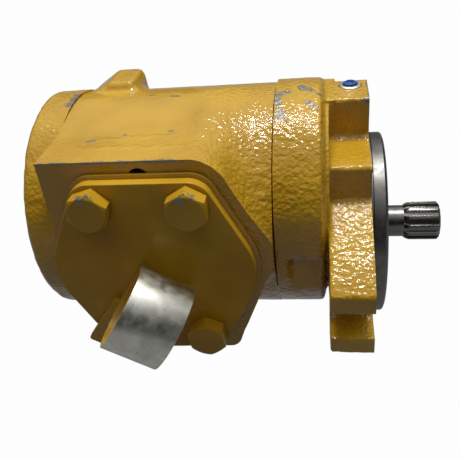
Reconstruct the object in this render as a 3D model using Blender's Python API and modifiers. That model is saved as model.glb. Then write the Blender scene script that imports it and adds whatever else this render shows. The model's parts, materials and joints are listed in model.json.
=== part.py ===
"""An axial piston pump with a tilting swashplate, a two-bolt mounting flange and a splined shaft.

Metres. The origin is the centre of the shaft's end face. +X points out along the shaft, +Z up, and
the control pad with its cover plate faces -Y. The sizes below are from the datum, where the
shaft's axis meets the flange's mounting face. The swashplate is at rest in neutral, square to the
shaft.
"""

from math import acos, atan2, cos, hypot, pi, radians, sin

import bmesh
import bpy
from mathutils import Euler, Matrix, Vector

MM = 0.001
GAP = 0.3 * MM

# Casing sizes
BODY_Z = 20.7 * MM  # the casings' centre is above the shaft
CASING_R = 61.1 * MM
COVER_END_R = 62.2 * MM
HOUSING_R = 61.7 * MM
HOUSING_Z = 21.7 * MM
REAR_X = -173.5 * MM
REAR_JOINT_X = -154.8 * MM
FRONT_JOINT_X = -47.0 * MM
FLANGE_BACK_X = -21.0 * MM
PILOT_R = 50.8 * MM
PILOT_LENGTH = 8.4 * MM
CAVITY_R = 33.0 * MM
SPIGOT_FACE_X = -140.6 * MM
TIE_BOLTS = [(50.0 * MM, radians(a)) for a in (-40, 50, 130, 220)]
TIE_SHANK_R = 4.0 * MM
TIE_HEAD_R = 6.5 * MM
SEAL_GROOVE_R = 57.0 * MM
SEAL_WIRE_R = 1.2 * MM
SEAL_GROOVE_DEPTH = 2 * SEAL_WIRE_R + GAP

# Flange
EAR_REACH = 85.0 * MM
EAR_TOP = 17.0 * MM
EAR_BOTTOM = -20.0 * MM
SLOT_R = 7.4 * MM
SLOT_Z = -3.3 * MM
SLOT_CENTRE_Y = 73.0 * MM
BOSS_TOP = 76.8 * MM
BOSS_NEAR_Y = -4.5 * MM
BOSS_FAR_Y = 26.0 * MM
SHOULDER_Z = 55.5 * MM
SHOULDER_Y = 37.2 * MM
SHOULDER_FOOT_Z = 38.6 * MM

# Control pad, its cover and its bolts
PAD_Y = -65.0 * MM
PAD_X = -106.0 * MM
PAD_Z = 19.0 * MM
PAD_TOP = 76.7 * MM
BOLT_DX = 23.0 * MM
BOLT_DZ = 38.5 * MM
SIDE_DX = 16.3 * MM
COVER_SIDE_R = 34.3 * MM
COVER_CORNER_R = 11.4 * MM
COVER_THICK = 5.0 * MM
GASKET_THICK = 1.5 * MM
GASKET_MARGIN = 1.9 * MM
PAD_MARGIN = 6.6 * MM
REAR_SWEEP_R = 30.0 * MM
WINDOW_R = 20.0 * MM
BOLT_R = 6.0 * MM
BOLT_AF = 18.0 * MM
BOLT_HEAD = 7.8 * MM
BOLT_DEPTH = 20.0 * MM

# Strap clamp
CLAMP_X = -105.6 * MM
CLAMP_Z = 7.0 * MM
CLAMP_TURN = radians(30)
CLAMP_R = 20.0 * MM
CLAMP_WALL = 1.8 * MM
CLAMP_WIDTH = 27.0 * MM
FOOT_THICK = 3.6 * MM
FOOT_TOP = 16.0 * MM
FOOT_REACH = 47.0 * MM
CLAMP_BOLT_INSET = 6.0 * MM

# Drain port in the flange's boss
DRAIN_X = -9.0 * MM
DRAIN_Y = 14.3 * MM
DRAIN_R = 5.9 * MM

# Shaft
SPLINE_TEETH = 13
SPLINE_R = 10.9 * MM
SPLINE_ROOT_R = 9.3 * MM
SHAFT_END = 40.3 * MM
JOURNAL_R = 12.5 * MM
INNER_SHAFT_R = 8.5 * MM

# Rotating group and swashplate
PIVOT_X = -54.0 * MM
PISTONS = 9
BORE_CIRCLE_R = 20.5 * MM
BALL_CIRCLE_R = 20.8 * MM
PISTON_R = 6.0 * MM
BORE_R = 6.8 * MM
BALL_R = 4.4 * MM
PISTON_REAR_X = -103.0 * MM
BORE_REAR_X = -114.0 * MM
BARREL_R = 30.0 * MM
BARREL_FRONT_X = -70.0 * MM
BARREL_REAR_X = -135.0 * MM
SLIPPER_FACE_X = PIVOT_X + 5.0 * MM
CRADLE_R = 30.0 * MM
SHELL_THICK = 2.2 * MM
SWASH_R = 29.8 * MM
CONTROL_Z = 50.0 * MM
CONTROL_PIN_X = -50.0 * MM
CONTROL_PIN_R = 5.0 * MM
BIAS_SEAT_X = -39.2 * MM
SPRING_BORE_END_X = -21.5 * MM
CONTROL_R = 9.0 * MM
SLEEVE_R = 12.4 * MM

PAINT = ("yellow_enamel", (0.52, 0.33, 0.045), 0.25, 0.0)
STEEL = ("machined_steel", (0.30, 0.29, 0.27), 0.35, 1.0)
GROUND = ("ground_steel", (0.55, 0.55, 0.54), 0.2, 1.0)
BRONZE = ("bronze", (0.48, 0.30, 0.12), 0.35, 1.0)
ZINC = ("zinc_plate", (0.62, 0.61, 0.56), 0.4, 1.0)
IRON = ("cast_iron", (0.20, 0.20, 0.20), 0.55, 1.0)
BLACK_RUBBER = ("black_rubber", (0.02, 0.02, 0.02), 0.6, 0.0)
GREY_GASKET = ("painted_gasket", (0.45, 0.29, 0.05), 0.5, 0.0)
BLUE_PLASTIC = ("blue_plastic", (0.03, 0.10, 0.32), 0.4, 0.0)
SPRING_STEEL = ("spring_steel", (0.25, 0.25, 0.26), 0.3, 1.0)


def clear_scene():
    for obj in list(bpy.data.objects):
        bpy.data.objects.remove(obj)


def new_collection(name):
    made = bpy.data.collections.new(name)
    bpy.context.scene.collection.children.link(made)
    return made


def new_datum():
    """The empty that everything hangs from, where the shaft's axis meets the mounting face. The
    part's own origin is the centre of the shaft's end face."""
    empty = bpy.data.objects.new("mounting_face_centre", None)
    empty.location.x = -SHAFT_END
    PUMP.objects.link(empty)
    return empty


clear_scene()
PUMP = new_collection("axial_piston_pump")
CUTTERS = new_collection("cutters")
DATUM = new_datum()


def finish_of(look):
    name, colour, roughness, metallic = look
    made = bpy.data.materials.get(name)
    if made is None:
        made = bpy.data.materials.new(name)
        made.use_nodes = True
        shader = made.node_tree.nodes["Principled BSDF"]
        shader.inputs["Base Color"].default_value = (*colour, 1.0)
        shader.inputs["Roughness"].default_value = roughness
        shader.inputs["Metallic"].default_value = metallic
        made.diffuse_color = (*colour, 1.0)
    return made


def place(name, mesh, look, matrix=None):
    """A new object from a mesh: a piece of the pump if it has a look, or else a cutter. The matrix
    places it from the datum."""
    obj = bpy.data.objects.new(name, mesh)
    obj.parent = DATUM
    if look is None:
        obj.hide_render = True
        obj.display_type = "WIRE"
        CUTTERS.objects.link(obj)
    else:
        mesh.materials.append(finish_of(look))
        PUMP.objects.link(obj)
    if matrix is not None:
        obj.matrix_basis = matrix
    return obj


def mesh_from(bm, name):
    bmesh.ops.recalc_face_normals(bm, faces=bm.faces)
    mesh = bpy.data.meshes.new(name)
    bm.to_mesh(mesh)
    bm.free()
    mesh.shade_smooth()
    mesh.set_sharp_from_angle(angle=radians(32))
    return mesh


def along_x(y=0.0, z=0.0):
    """A frame whose local +Z runs along +X, at a place in the YZ plane."""
    return Matrix.Translation((0, y, z)) @ Euler((0, pi / 2, 0)).to_matrix().to_4x4()


def along_y(x=0.0, z=0.0):
    """A frame whose local +Z runs along -Y, at a place in the XZ plane."""
    return Matrix.Translation((x, 0, z)) @ Euler((pi / 2, 0, 0)).to_matrix().to_4x4()


def turned(name, profile, look, frame, steps=40):
    """A solid of revolution about the frame's Z. The profile's (height, radius) points run from
    the top down the outer side, and a ring's go back up its bore."""
    bm = bmesh.new()
    corners = [bm.verts.new((radius, 0, height)) for height, radius in profile]
    for first, second in zip(corners, corners[1:]):
        bm.edges.new((first, second))
    if profile[0][1] > 0:
        bm.edges.new((corners[-1], corners[0]))
    mesh = bpy.data.meshes.new(name)
    bm.to_mesh(mesh)
    bm.free()
    obj = place(name, mesh, look, frame)
    screw = obj.modifiers.new("turn", "SCREW")
    screw.steps = steps
    screw.render_steps = steps
    screw.use_merge_vertices = True
    screw.merge_threshold = 1e-5
    screw.use_smooth_shade = True
    return obj


def rod(name, radius, start, end, look, frame, steps=40):
    return turned(name, [(end, 0), (end, radius), (start, radius), (start, 0)], look, frame, steps)


def ring(name, outer, inner, start, end, look, frame, steps=40):
    profile = [(end, inner), (end, outer), (start, outer), (start, inner)]
    return turned(name, profile, look, frame, steps)


def box(name, low, high, look=None, bevel=0.0):
    bm = bmesh.new()
    bmesh.ops.create_cube(bm, size=1.0)
    size = Vector(high) - Vector(low)
    bmesh.ops.scale(bm, vec=size, verts=bm.verts)
    bmesh.ops.translate(bm, vec=(Vector(high) + Vector(low)) / 2, verts=bm.verts)
    obj = place(name, mesh_from(bm, name), look)
    if bevel:
        rounding = obj.modifiers.new("rounding", "BEVEL")
        rounding.width = bevel
        rounding.segments = 3
    return obj


def slab(name, outline, low, high, look, frame):
    """A flat outline in the frame's XY plane, thickened from low to high along its Z."""
    curve = bpy.data.curves.new(name, "CURVE")
    curve.dimensions = "2D"
    curve.fill_mode = "BOTH"
    curve.extrude = (high - low) / 2
    spline = curve.splines.new("POLY")
    spline.points.add(len(outline) - 1)
    for point, (a, b) in zip(spline.points, outline):
        point.co = (a, b, 0, 1)
    spline.use_cyclic_u = True
    flat = bpy.data.objects.new(name, curve)
    bpy.context.scene.collection.objects.link(flat)
    graph = bpy.context.evaluated_depsgraph_get()
    mesh = bpy.data.meshes.new_from_object(flat.evaluated_get(graph))
    bpy.data.objects.remove(flat)
    bm = bmesh.new()
    bm.from_mesh(mesh)
    bmesh.ops.remove_doubles(bm, verts=bm.verts, dist=1e-6)
    bmesh.ops.translate(bm, vec=(0, 0, (high + low) / 2), verts=bm.verts)
    bmesh.ops.dissolve_limit(bm, angle_limit=radians(1), verts=bm.verts, edges=bm.edges)
    return place(name, mesh_from(bm, name), look, frame)


def cut(obj, *cutters):
    for cutter in cutters:
        boolean = obj.modifiers.new("cut_" + cutter.name, "BOOLEAN")
        boolean.operation = "DIFFERENCE"
        boolean.object = cutter


def join(obj, *others):
    for other in others:
        boolean = obj.modifiers.new("join_" + other.name, "BOOLEAN")
        boolean.operation = "UNION"
        boolean.object = other


def arc(centre, radius, start, end, steps):
    """Points on a circle from one angle to another, both in radians."""
    turn = (end - start) / steps
    return [
        (centre[0] + radius * cos(start + turn * i), centre[1] + radius * sin(start + turn * i))
        for i in range(steps + 1)
    ]


def wrapped_outline(circles, step=radians(15)):
    """The belt line round circles given as (a, b, radius), anticlockwise."""
    normals = []
    for (a0, b0, r0), (a1, b1, r1) in zip(circles, circles[1:] + circles[:1]):
        apart = hypot(a1 - a0, b1 - b0)
        normals.append(atan2(b1 - b0, a1 - a0) - acos((r0 - r1) / apart))
    points = []
    for i, (a, b, radius) in enumerate(circles):
        start = normals[i - 1]
        sweep = (normals[i] - start) % (2 * pi)
        points += arc((a, b), radius, start, start + sweep, max(1, round(sweep / step)))
    return points


def cover_outline(margin):
    """The cover plate's outline, with rounded corners at its bolts and bulging sides, grown by a
    margin. It is round the pad's centre, with X right and Z up."""
    corner = COVER_CORNER_R + margin
    side = COVER_SIDE_R + margin
    return wrapped_outline([
        (-BOLT_DX, -BOLT_DZ, corner),
        (BOLT_DX, -BOLT_DZ, corner),
        (SIDE_DX, 0, side),
        (BOLT_DX, BOLT_DZ, corner),
        (-BOLT_DX, BOLT_DZ, corner),
        (-SIDE_DX, 0, side),
    ])


def pad_outline():
    """The control pad: rounded like the cover on the right, square at the casing's rear joint,
    and cut back behind the cover at its lower rear corner."""
    corner = COVER_CORNER_R + PAD_MARGIN
    left = REAR_JOINT_X + GAP / 2 - PAD_X
    top = PAD_TOP - PAD_Z
    sharp = 0.5 * MM
    return wrapped_outline([
        (-22 * MM, -48.2 * MM, 10 * MM),
        (31.4 * MM, -48.8 * MM, 7 * MM),
        (SIDE_DX, 0, COVER_SIDE_R + PAD_MARGIN - 1.5 * MM),
        (BOLT_DX, top - corner, corner),
        (left + sharp, top - sharp, sharp),
        (left + REAR_SWEEP_R, 0, REAR_SWEEP_R),
    ])


def tie_bolt_places():
    return [(radius * cos(a), BODY_Z + radius * sin(a)) for radius, a in TIE_BOLTS]


def cover_bolt_places():
    places = [
        (PAD_X + side * BOLT_DX, PAD_Z + height * BOLT_DZ)
        for side, height in ((-1, 1), (1, 1), (1, -1))
    ]
    return [*places, (PAD_X - BOLT_DX + CLAMP_BOLT_INSET, PAD_Z - BOLT_DZ)]


def tie_bolt_cutters(name, start, end):
    return [
        rod(f"{name}_{i}", TIE_SHANK_R + GAP, start, end, None, along_x(y, z), 10)
        for i, (y, z) in enumerate(tie_bolt_places())
    ]


def seal_groove(name, start, end):
    outer = SEAL_GROOVE_R + SEAL_WIRE_R + GAP
    inner = SEAL_GROOVE_R - SEAL_WIRE_R - GAP
    return ring(name, outer, inner, start, end, None, along_x(0, BODY_Z), 40)


def make_main_casing():
    front = FRONT_JOINT_X - GAP / 2
    rear = REAR_JOINT_X + GAP / 2
    casing = rod("main_casing", CASING_R, rear, front, PAINT, along_x(0, BODY_Z), 56)
    block = slab("block", pad_outline(), 5 * MM, -PAD_Y, None, along_y(PAD_X, PAD_Z))
    boss_outline = [
        (-155 * MM + GAP, 60 * MM),
        (-124.5 * MM, 60 * MM),
        (-125.5 * MM, 82 * MM),
        (-128 * MM, 85.5 * MM),
        (-140 * MM, 85.5 * MM),
        (-155 * MM + GAP, 77 * MM),
    ]
    boss = slab("gauge_boss", boss_outline, -38 * MM, -12 * MM, None, along_y())
    join(casing, block, boss)
    slot_low = (BARREL_FRONT_X - 11 * MM, -9 * MM, 20 * MM)
    slot_high = (FRONT_JOINT_X + 5 * MM, 9 * MM, CONTROL_Z + 12.5 * MM)
    cut(
        casing,
        rod("barrel_cavity", CAVITY_R, REAR_X, 0, None, along_x(), 36),
        rod("control_bore", SLEEVE_R + GAP, -132 * MM, 0, None, along_x(0, CONTROL_Z), 24),
        box("arm_slot", slot_low, slot_high),
        rod("window", WINDOW_R, 20 * MM, 80 * MM, None, along_y(PAD_X, PAD_Z), 28),
        rod("pad_port", 5 * MM, 52 * MM, 80 * MM, None, along_y(PAD_X, 66.8 * MM), 16),
        seal_groove("front_groove", front - SEAL_GROOVE_DEPTH, 0),
        *tie_bolt_cutters("casing_tie", REAR_X, 0),
    )
    for i, (x, z) in enumerate(cover_bolt_places()):
        depth = -PAD_Y - BOLT_DEPTH
        cut(casing, rod(f"tapped_{i}", BOLT_R + GAP, depth, 80 * MM, None, along_y(x, z), 12))


def ear_side(side):
    """One ear's corners as (y, z), from its lower root to its upper root."""
    ear_round = 7 * MM
    return [
        (side * 45 * MM, -34 * MM),
        (side * (EAR_REACH - MM), EAR_BOTTOM),
        (side * EAR_REACH, EAR_BOTTOM + MM),
        (side * EAR_REACH, EAR_TOP - ear_round),
        (side * (EAR_REACH - 2 * MM), EAR_TOP - 2 * MM),
        (side * (EAR_REACH - ear_round), EAR_TOP + 1.5 * MM),
    ]


def flange_outline():
    """The flange seen along the shaft, as (y, z): two ears, a drain boss and its shoulders."""
    bottom = arc((0, 0), 56 * MM, radians(-40), radians(-140), 10)
    shoulder = [
        (-SHOULDER_Y - 4 * MM, SHOULDER_FOOT_Z - 2 * MM),
        (-SHOULDER_Y, SHOULDER_FOOT_Z + 3 * MM),
        (-SHOULDER_Y, SHOULDER_Z),
        (BOSS_NEAR_Y, SHOULDER_Z),
        (BOSS_NEAR_Y, BOSS_TOP),
        (BOSS_FAR_Y - 6 * MM, BOSS_TOP),
        (BOSS_FAR_Y, BOSS_TOP - 6 * MM),
        (BOSS_FAR_Y, SHOULDER_Z),
        (SHOULDER_Y, SHOULDER_Z),
        (SHOULDER_Y, SHOULDER_FOOT_Z + 3 * MM),
        (SHOULDER_Y + 4 * MM, SHOULDER_FOOT_Z - 2 * MM),
    ]
    return ear_side(-1) + shoulder + ear_side(1)[::-1] + bottom


def bolt_slot(name, side):
    """A bolt slot's cutter, open at the end of one ear."""
    rounded = arc((SLOT_CENTRE_Y, SLOT_Z), SLOT_R, 3 * pi / 2, pi / 2, 8)
    mouth = SLOT_CENTRE_Y + 30 * MM
    outline = [*rounded, (mouth, SLOT_Z + SLOT_R), (mouth, SLOT_Z - SLOT_R)]
    outline = [(side * y, z) for y, z in outline]
    return yz_slab(name, outline, FLANGE_BACK_X - 8 * MM, 8 * MM, None)


def yz_slab(name, outline, start, end, look):
    """An outline of (y, z) points, thickened along X."""
    frame = Matrix(((0, 0, 1, 0), (1, 0, 0, 0), (0, 1, 0, 0), (0, 0, 0, 1)))
    return slab(name, outline, start, end, look, frame)


def make_front_housing():
    rear = FRONT_JOINT_X + GAP / 2
    neck = HOUSING_R - 8.5 * MM
    barrel = [
        (FLANGE_BACK_X + MM, 0),
        (FLANGE_BACK_X + MM, neck),
        (FLANGE_BACK_X - 1.3 * MM, neck),
        (FLANGE_BACK_X - 5 * MM, HOUSING_R),
        (rear, HOUSING_R),
        (rear, 0),
    ]
    housing = turned("front_housing", barrel, PAINT, along_x(0, HOUSING_Z), 56)
    pilot = [
        (PILOT_LENGTH, 0),
        (PILOT_LENGTH, PILOT_R - 2 * MM),
        (PILOT_LENGTH - 2 * MM, PILOT_R),
        (-2 * MM, PILOT_R),
        (-2 * MM, 0),
    ]
    flange = yz_slab("flange", flange_outline(), FLANGE_BACK_X, 0, None)
    join(housing, flange, turned("pilot", pilot, None, along_x(), 56))
    seat = SWASH_R + 1.5 * MM
    cradle = rod("cradle_seat", CRADLE_R + SHELL_THICK + 2 * GAP, -seat, seat, None,
                 along_y(PIVOT_X, 0), 36)
    facet_high = (FLANGE_BACK_X - 0.5 * MM, -60.6 * MM, 60 * MM)
    pocket_low = (-40 * MM, -80 * MM, -14 * MM)
    pocket_high = (FLANGE_BACK_X - 1.2 * MM, -57 * MM, 18 * MM)
    room_high = (-31 * MM, 9 * MM, CONTROL_Z + 9 * MM)
    cut(
        housing,
        bolt_slot("near_slot", -1),
        bolt_slot("far_slot", 1),
        box("facet", (-60 * MM, -80 * MM, -10 * MM), facet_high),
        box("wrench_pocket", pocket_low, pocket_high, None, 3 * MM),
        cradle,
        rod("front_cavity", CAVITY_R, -60 * MM, -40 * MM, None, along_x(), 36),
        box("arm_room", (-60 * MM, -9 * MM, 20 * MM), room_high),
        rod("spring_bore", 10.5 * MM, -60 * MM, SPRING_BORE_END_X, None, along_x(0, CONTROL_Z), 24),
        rod("bearing_bore", 26 * MM, -30 * MM, -4.7 * MM, None, along_x(), 36),
        rod("seal_bore", 21 * MM, -10 * MM, 20 * MM, None, along_x(), 36),
        rod("drain_hole", DRAIN_R + GAP, 62 * MM, 90 * MM, None,
            Matrix.Translation((DRAIN_X, DRAIN_Y, 0)), 16),
        *tie_bolt_cutters("housing_tie", -60 * MM, -29 * MM),
    )


def make_end_cover():
    rounding = 3 * MM
    front = REAR_JOINT_X - GAP / 2
    edge = [
        (REAR_X + rounding * (1 - cos(a)), COVER_END_R - rounding * (1 - sin(a)))
        for a in [pi / 2 - pi / 2 * i / 3 for i in range(4)]
    ]
    disc = [(front, 0), (front, COVER_END_R), *edge, (REAR_X, 0)]
    cover = turned("end_cover", disc, PAINT, along_x(0, BODY_Z), 48)
    spigot = rod("spigot", CAVITY_R - GAP, REAR_X + 8 * MM, SPIGOT_FACE_X, None, along_x(), 36)
    join(cover, spigot)
    cut(
        cover,
        seal_groove("rear_groove", front - SEAL_GROOVE_DEPTH, 0),
        rod("bush_bore", 12.3 * MM, -158 * MM, 0, None, along_x(), 24),
        rod("suction_port", 15.5 * MM, -190 * MM, -154 * MM, None, along_x(27 * MM, 14 * MM), 24),
        rod("pressure_port", 11 * MM, -190 * MM, -154 * MM, None, along_x(-26 * MM, 12 * MM), 20),
        kidney("suction_kidney", 1, -156 * MM, 0),
        kidney("pressure_kidney", -1, -156 * MM, 0),
        *tie_bolt_cutters("cover_tie", -190 * MM, 0),
    )
    for i, (y, z) in enumerate(tie_bolt_places()):
        cut(cover, rod(f"counterbore_{i}", TIE_HEAD_R + GAP, -190 * MM, REAR_X + 8.5 * MM, None,
                       along_x(y, z), 14))


def kidney(name, side, start, end):
    """A curved slot that follows the barrel's bores, on one side of the shaft."""
    width = 3 * MM
    reach = radians(52)
    middle = 0 if side > 0 else pi
    outer = arc((0, 0), BORE_CIRCLE_R + width, middle - reach, middle + reach, 7)
    inner = arc((0, 0), BORE_CIRCLE_R - width, middle + reach, middle - reach, 7)
    return yz_slab(name, outer + inner, start, end, None)


def make_cover_parts():
    face = -PAD_Y + GAP / 2
    plate_low = face + GASKET_THICK + GAP
    frame = along_y(PAD_X, PAD_Z)
    gasket = slab("cover_gasket", cover_outline(GASKET_MARGIN), face, face + GASKET_THICK,
                  GREY_GASKET, frame)
    cut(gasket, rod("gasket_window", WINDOW_R, 20 * MM, 90 * MM, None, frame, 28))
    plate = slab("cover_plate", cover_outline(0), plate_low, plate_low + COVER_THICK, PAINT, frame)
    for i, (x, z) in enumerate(cover_bolt_places()):
        hole = rod(f"cover_hole_{i}", BOLT_R + GAP, 20 * MM, 90 * MM, None, along_y(x, z), 12)
        cut(gasket, hole)
        cut(plate, hole)


def cover_face():
    return -PAD_Y + GAP / 2 + GASKET_THICK + GAP + COVER_THICK


def hex_bolt(name, seat, shank, look, frame, turn=0.0):
    """A hex bolt whose head sits at the given height over its shank, with a domed chamfer."""
    bm = bmesh.new()
    frame_up = Matrix.Translation((0, 0, seat + BOLT_HEAD / 2)) @ Matrix.Rotation(turn, 4, "Z")
    corner = BOLT_AF / 2 / cos(pi / 6)
    bmesh.ops.create_cone(bm, cap_ends=True, segments=6, radius1=corner, radius2=corner,
                          depth=BOLT_HEAD, matrix=frame_up)
    head = place(name, mesh_from(bm, name), look, frame)
    top = seat + BOLT_HEAD
    dome = [(top, 0), (top, BOLT_AF / 2 - 0.4 * MM), (top - 2 * MM, corner + 0.5 * MM),
            (seat - MM, corner + 0.5 * MM), (seat - MM, 0)]
    trim = turned(name + "_dome", dome, None, frame, 18)
    common = head.modifiers.new("dome", "BOOLEAN")
    common.operation = "INTERSECT"
    common.object = trim
    join(head, rod(name + "_shank", BOLT_R, shank, seat + MM, None, frame, 12))


def make_cover_bolts():
    turns = (radians(17.5), radians(29.5), radians(35), radians(20))
    shank = -PAD_Y - BOLT_DEPTH + 2 * MM
    for i, ((x, z), turn) in enumerate(zip(cover_bolt_places(), turns)):
        seat = cover_face() + GAP
        if i == 3:
            seat += FOOT_THICK + GAP
        hex_bolt(f"cover_bolt_{i + 1}", seat, shank, PAINT, along_y(x, z), turn)


def make_strap_clamp():
    """A strap bent into a loop, whose two ends lie together as a foot under a cover bolt."""
    face = cover_face() + GAP
    spin = Matrix.Rotation(CLAMP_TURN, 4, "Y")
    frame = Matrix.Translation((CLAMP_X, -face - CLAMP_R, CLAMP_Z)) @ spin
    half = CLAMP_WIDTH / 2
    across = frame @ Euler((0, pi / 2, 0)).to_matrix().to_4x4()
    clamp = ring("strap_clamp", CLAMP_R, CLAMP_R - CLAMP_WALL, -half, half, ZINC, across, 48)
    neck = box("clamp_neck", (-half + GAP, CLAMP_R - FOOT_THICK, -FOOT_TOP - 2 * MM),
               (half - GAP, CLAMP_R, -4 * MM))
    neck.matrix_basis = frame
    gullet = rod("clamp_gullet", CLAMP_R - CLAMP_WALL, -half, half, None, across, 48)
    cut(neck, gullet)
    foot_outline = [
        (-19.4 * MM, -FOOT_REACH),
        (half, -FOOT_REACH),
        (half, -FOOT_TOP),
        (-16.3 * MM, -FOOT_TOP),
    ]
    flat = frame @ Euler((pi / 2, 0, 0)).to_matrix().to_4x4()
    foot = slab("clamp_foot", foot_outline, -CLAMP_R, FOOT_THICK - CLAMP_R, None, flat)
    join(clamp, neck, foot)
    x, z = cover_bolt_places()[3]
    cut(clamp, rod("foot_hole", BOLT_R + GAP, 20 * MM, 90 * MM, None, along_y(x, z), 16))


def make_drain():
    frame = Matrix.Translation((DRAIN_X, DRAIN_Y, 0))
    top = BOSS_TOP + 0.8 * MM
    ring("drain_seat", DRAIN_R, 4.1 * MM, 64 * MM, top, ZINC, frame, 24)
    plug = [(top + 1.2 * MM, 0), (top + 1.2 * MM, 3.2 * MM), (top + 0.2 * MM, 3.7 * MM),
            (66 * MM, 3.7 * MM), (66 * MM, 0)]
    turned("drain_plug", plug, BLUE_PLASTIC, frame, 20)


def make_tie_bolts():
    head_low = REAR_X + 0.6 * MM
    seat = REAR_X + 8.5 * MM - GAP
    for i, (y, z) in enumerate(tie_bolt_places()):
        profile = [(-30 * MM, 0), (-30 * MM, TIE_SHANK_R), (seat, TIE_SHANK_R), (seat, TIE_HEAD_R),
                   (head_low, TIE_HEAD_R), (head_low, 0)]
        bolt = turned(f"tie_bolt_{i + 1}", profile, STEEL, along_x(y, z), 12)
        bm = bmesh.new()
        bmesh.ops.create_cone(bm, cap_ends=True, segments=6, radius1=3.5 * MM, radius2=3.5 * MM,
                              depth=10 * MM, matrix=Matrix.Translation((0, 0, head_low)))
        cut(bolt, place(f"hex_socket_{i}", mesh_from(bm, "hex_socket"), None, along_x(y, z)))


def make_static_seals():
    """Round-section rings in the grooves between the casings."""
    sides = 6
    for name, joint in (("front_seal_ring", FRONT_JOINT_X), ("rear_seal_ring", REAR_JOINT_X)):
        middle = (joint - GAP / 2 - SEAL_GROOVE_DEPTH / 2, SEAL_GROOVE_R)
        section = arc(middle, SEAL_WIRE_R, -3 * pi / 2, pi / 2, sides)[:-1]
        turned(name, section, BLACK_RUBBER, along_x(0, BODY_Z), 36)


def at_pivot(y=0.0, z=0.0):
    """A frame along the shaft whose origin is in the plane of the piston balls."""
    return Matrix.Translation((PIVOT_X, 0, 0)) @ along_x(y, z)


def make_shaft():
    profile = [
        (SHAFT_END, 0),
        (SHAFT_END, 7.8 * MM),
        (SHAFT_END - 1.5 * MM, SPLINE_ROOT_R),
        (22.5 * MM, SPLINE_ROOT_R),
        (20 * MM, 8.9 * MM),
        (8.8 * MM, 8.9 * MM),
        (8.2 * MM, JOURNAL_R),
        (-20.3 * MM, JOURNAL_R),
        (-20.3 * MM, 15 * MM),
        (-23 * MM, 15 * MM),
        (-23 * MM, INNER_SHAFT_R),
        (-157 * MM, INNER_SHAFT_R),
        (-157 * MM, 0),
    ]
    shaft = turned("shaft", profile, STEEL, along_x(), 2 * SPLINE_TEETH)
    teeth = []
    for i in range(SPLINE_TEETH):
        middle = 2 * pi * i / SPLINE_TEETH
        for offset, radius in ((-0.3, 9.0 * MM), (-0.15, SPLINE_R), (0.15, SPLINE_R), (0.3, 9.0 * MM)):
            angle = middle + offset * 2 * pi / SPLINE_TEETH
            teeth.append((radius * cos(angle), radius * sin(angle)))
    join(shaft, yz_slab("spline", teeth, 22.8 * MM, SHAFT_END - 2 * MM, None))


def make_front_bearing():
    front = -5.2 * MM
    rear = -20 * MM
    ring("front_bearing_cup", 25.7 * MM, 21.8 * MM, rear, front, GROUND, along_x(), 36)
    ring("front_bearing_cone", 16.2 * MM, JOURNAL_R + GAP, rear, front, GROUND, along_x(), 28)
    cage = ring("front_bearing_rollers", 19.7 * MM, 18.3 * MM, -18.5 * MM, -6.5 * MM, STEEL,
                along_x(), 24)
    rollers = 12
    for i in range(rollers):
        angle = 2 * pi * i / rollers
        frame = along_x(19 * MM * cos(angle), 19 * MM * sin(angle))
        join(cage, rod(f"roller_{i}", 2.4 * MM, -17.5 * MM, -7.5 * MM, None, frame, 6))


def make_shaft_seals():
    ring("shaft_seal", 20.7 * MM, JOURNAL_R + GAP, -1 * MM, 6.1 * MM, BLACK_RUBBER, along_x(), 36)
    snap = ring("seal_snap_ring", 20.7 * MM, 18.4 * MM, 6.4 * MM, 7.8 * MM, SPRING_STEEL,
                along_x(), 36)
    cut(snap, box("snap_gap", (0, -2.5 * MM, 0), (12 * MM, 2.5 * MM, 30 * MM)))
    ring("rear_bush", 12 * MM, INNER_SHAFT_R + GAP, -157 * MM, -141 * MM, BRONZE, along_x(), 24)


def make_valve_plate():
    plate = ring("valve_plate", 30 * MM, 13 * MM, SPIGOT_FACE_X + GAP, BARREL_REAR_X - GAP, BRONZE,
                 along_x(), 36)
    frame = along_x(0, -25.8 * MM)
    hole = rod("dowel_hole", 2.2 * MM, -147 * MM, -136.5 * MM, None, frame, 12)
    cut(plate, kidney("suction_slot", 1, -150 * MM, 0), kidney("pressure_slot", -1, -150 * MM, 0), hole)
    cut(bpy.data.objects["end_cover"], hole)
    rod("valve_plate_dowel", 1.9 * MM, -146.5 * MM, -136.9 * MM, GROUND, frame, 12)


def bore_places(radius):
    return [
        (radius * cos(2 * pi * i / PISTONS + pi / 2), radius * sin(2 * pi * i / PISTONS + pi / 2))
        for i in range(PISTONS)
    ]


def make_barrel():
    profile = [
        (BARREL_FRONT_X, 0),
        (BARREL_FRONT_X, BARREL_R - MM),
        (BARREL_FRONT_X - MM, BARREL_R),
        (BARREL_REAR_X, BARREL_R),
        (BARREL_REAR_X, 0),
    ]
    barrel = turned("cylinder_barrel", profile, STEEL, along_x(), 40)
    cut(
        barrel,
        rod("barrel_spline", INNER_SHAFT_R + GAP, -150 * MM, 0, None, along_x(), 20),
        rod("spring_pocket", 12.3 * MM, -116 * MM, 0, None, along_x(), 24),
    )
    for i, (y, z) in enumerate(bore_places(BORE_CIRCLE_R)):
        cut(
            barrel,
            rod(f"bore_{i}", BORE_R, BORE_REAR_X, 0, None, along_x(y, z), 14),
            rod(f"bore_port_{i}", 2.8 * MM, -150 * MM, BORE_REAR_X + MM, None, along_x(y, z), 8),
        )


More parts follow.
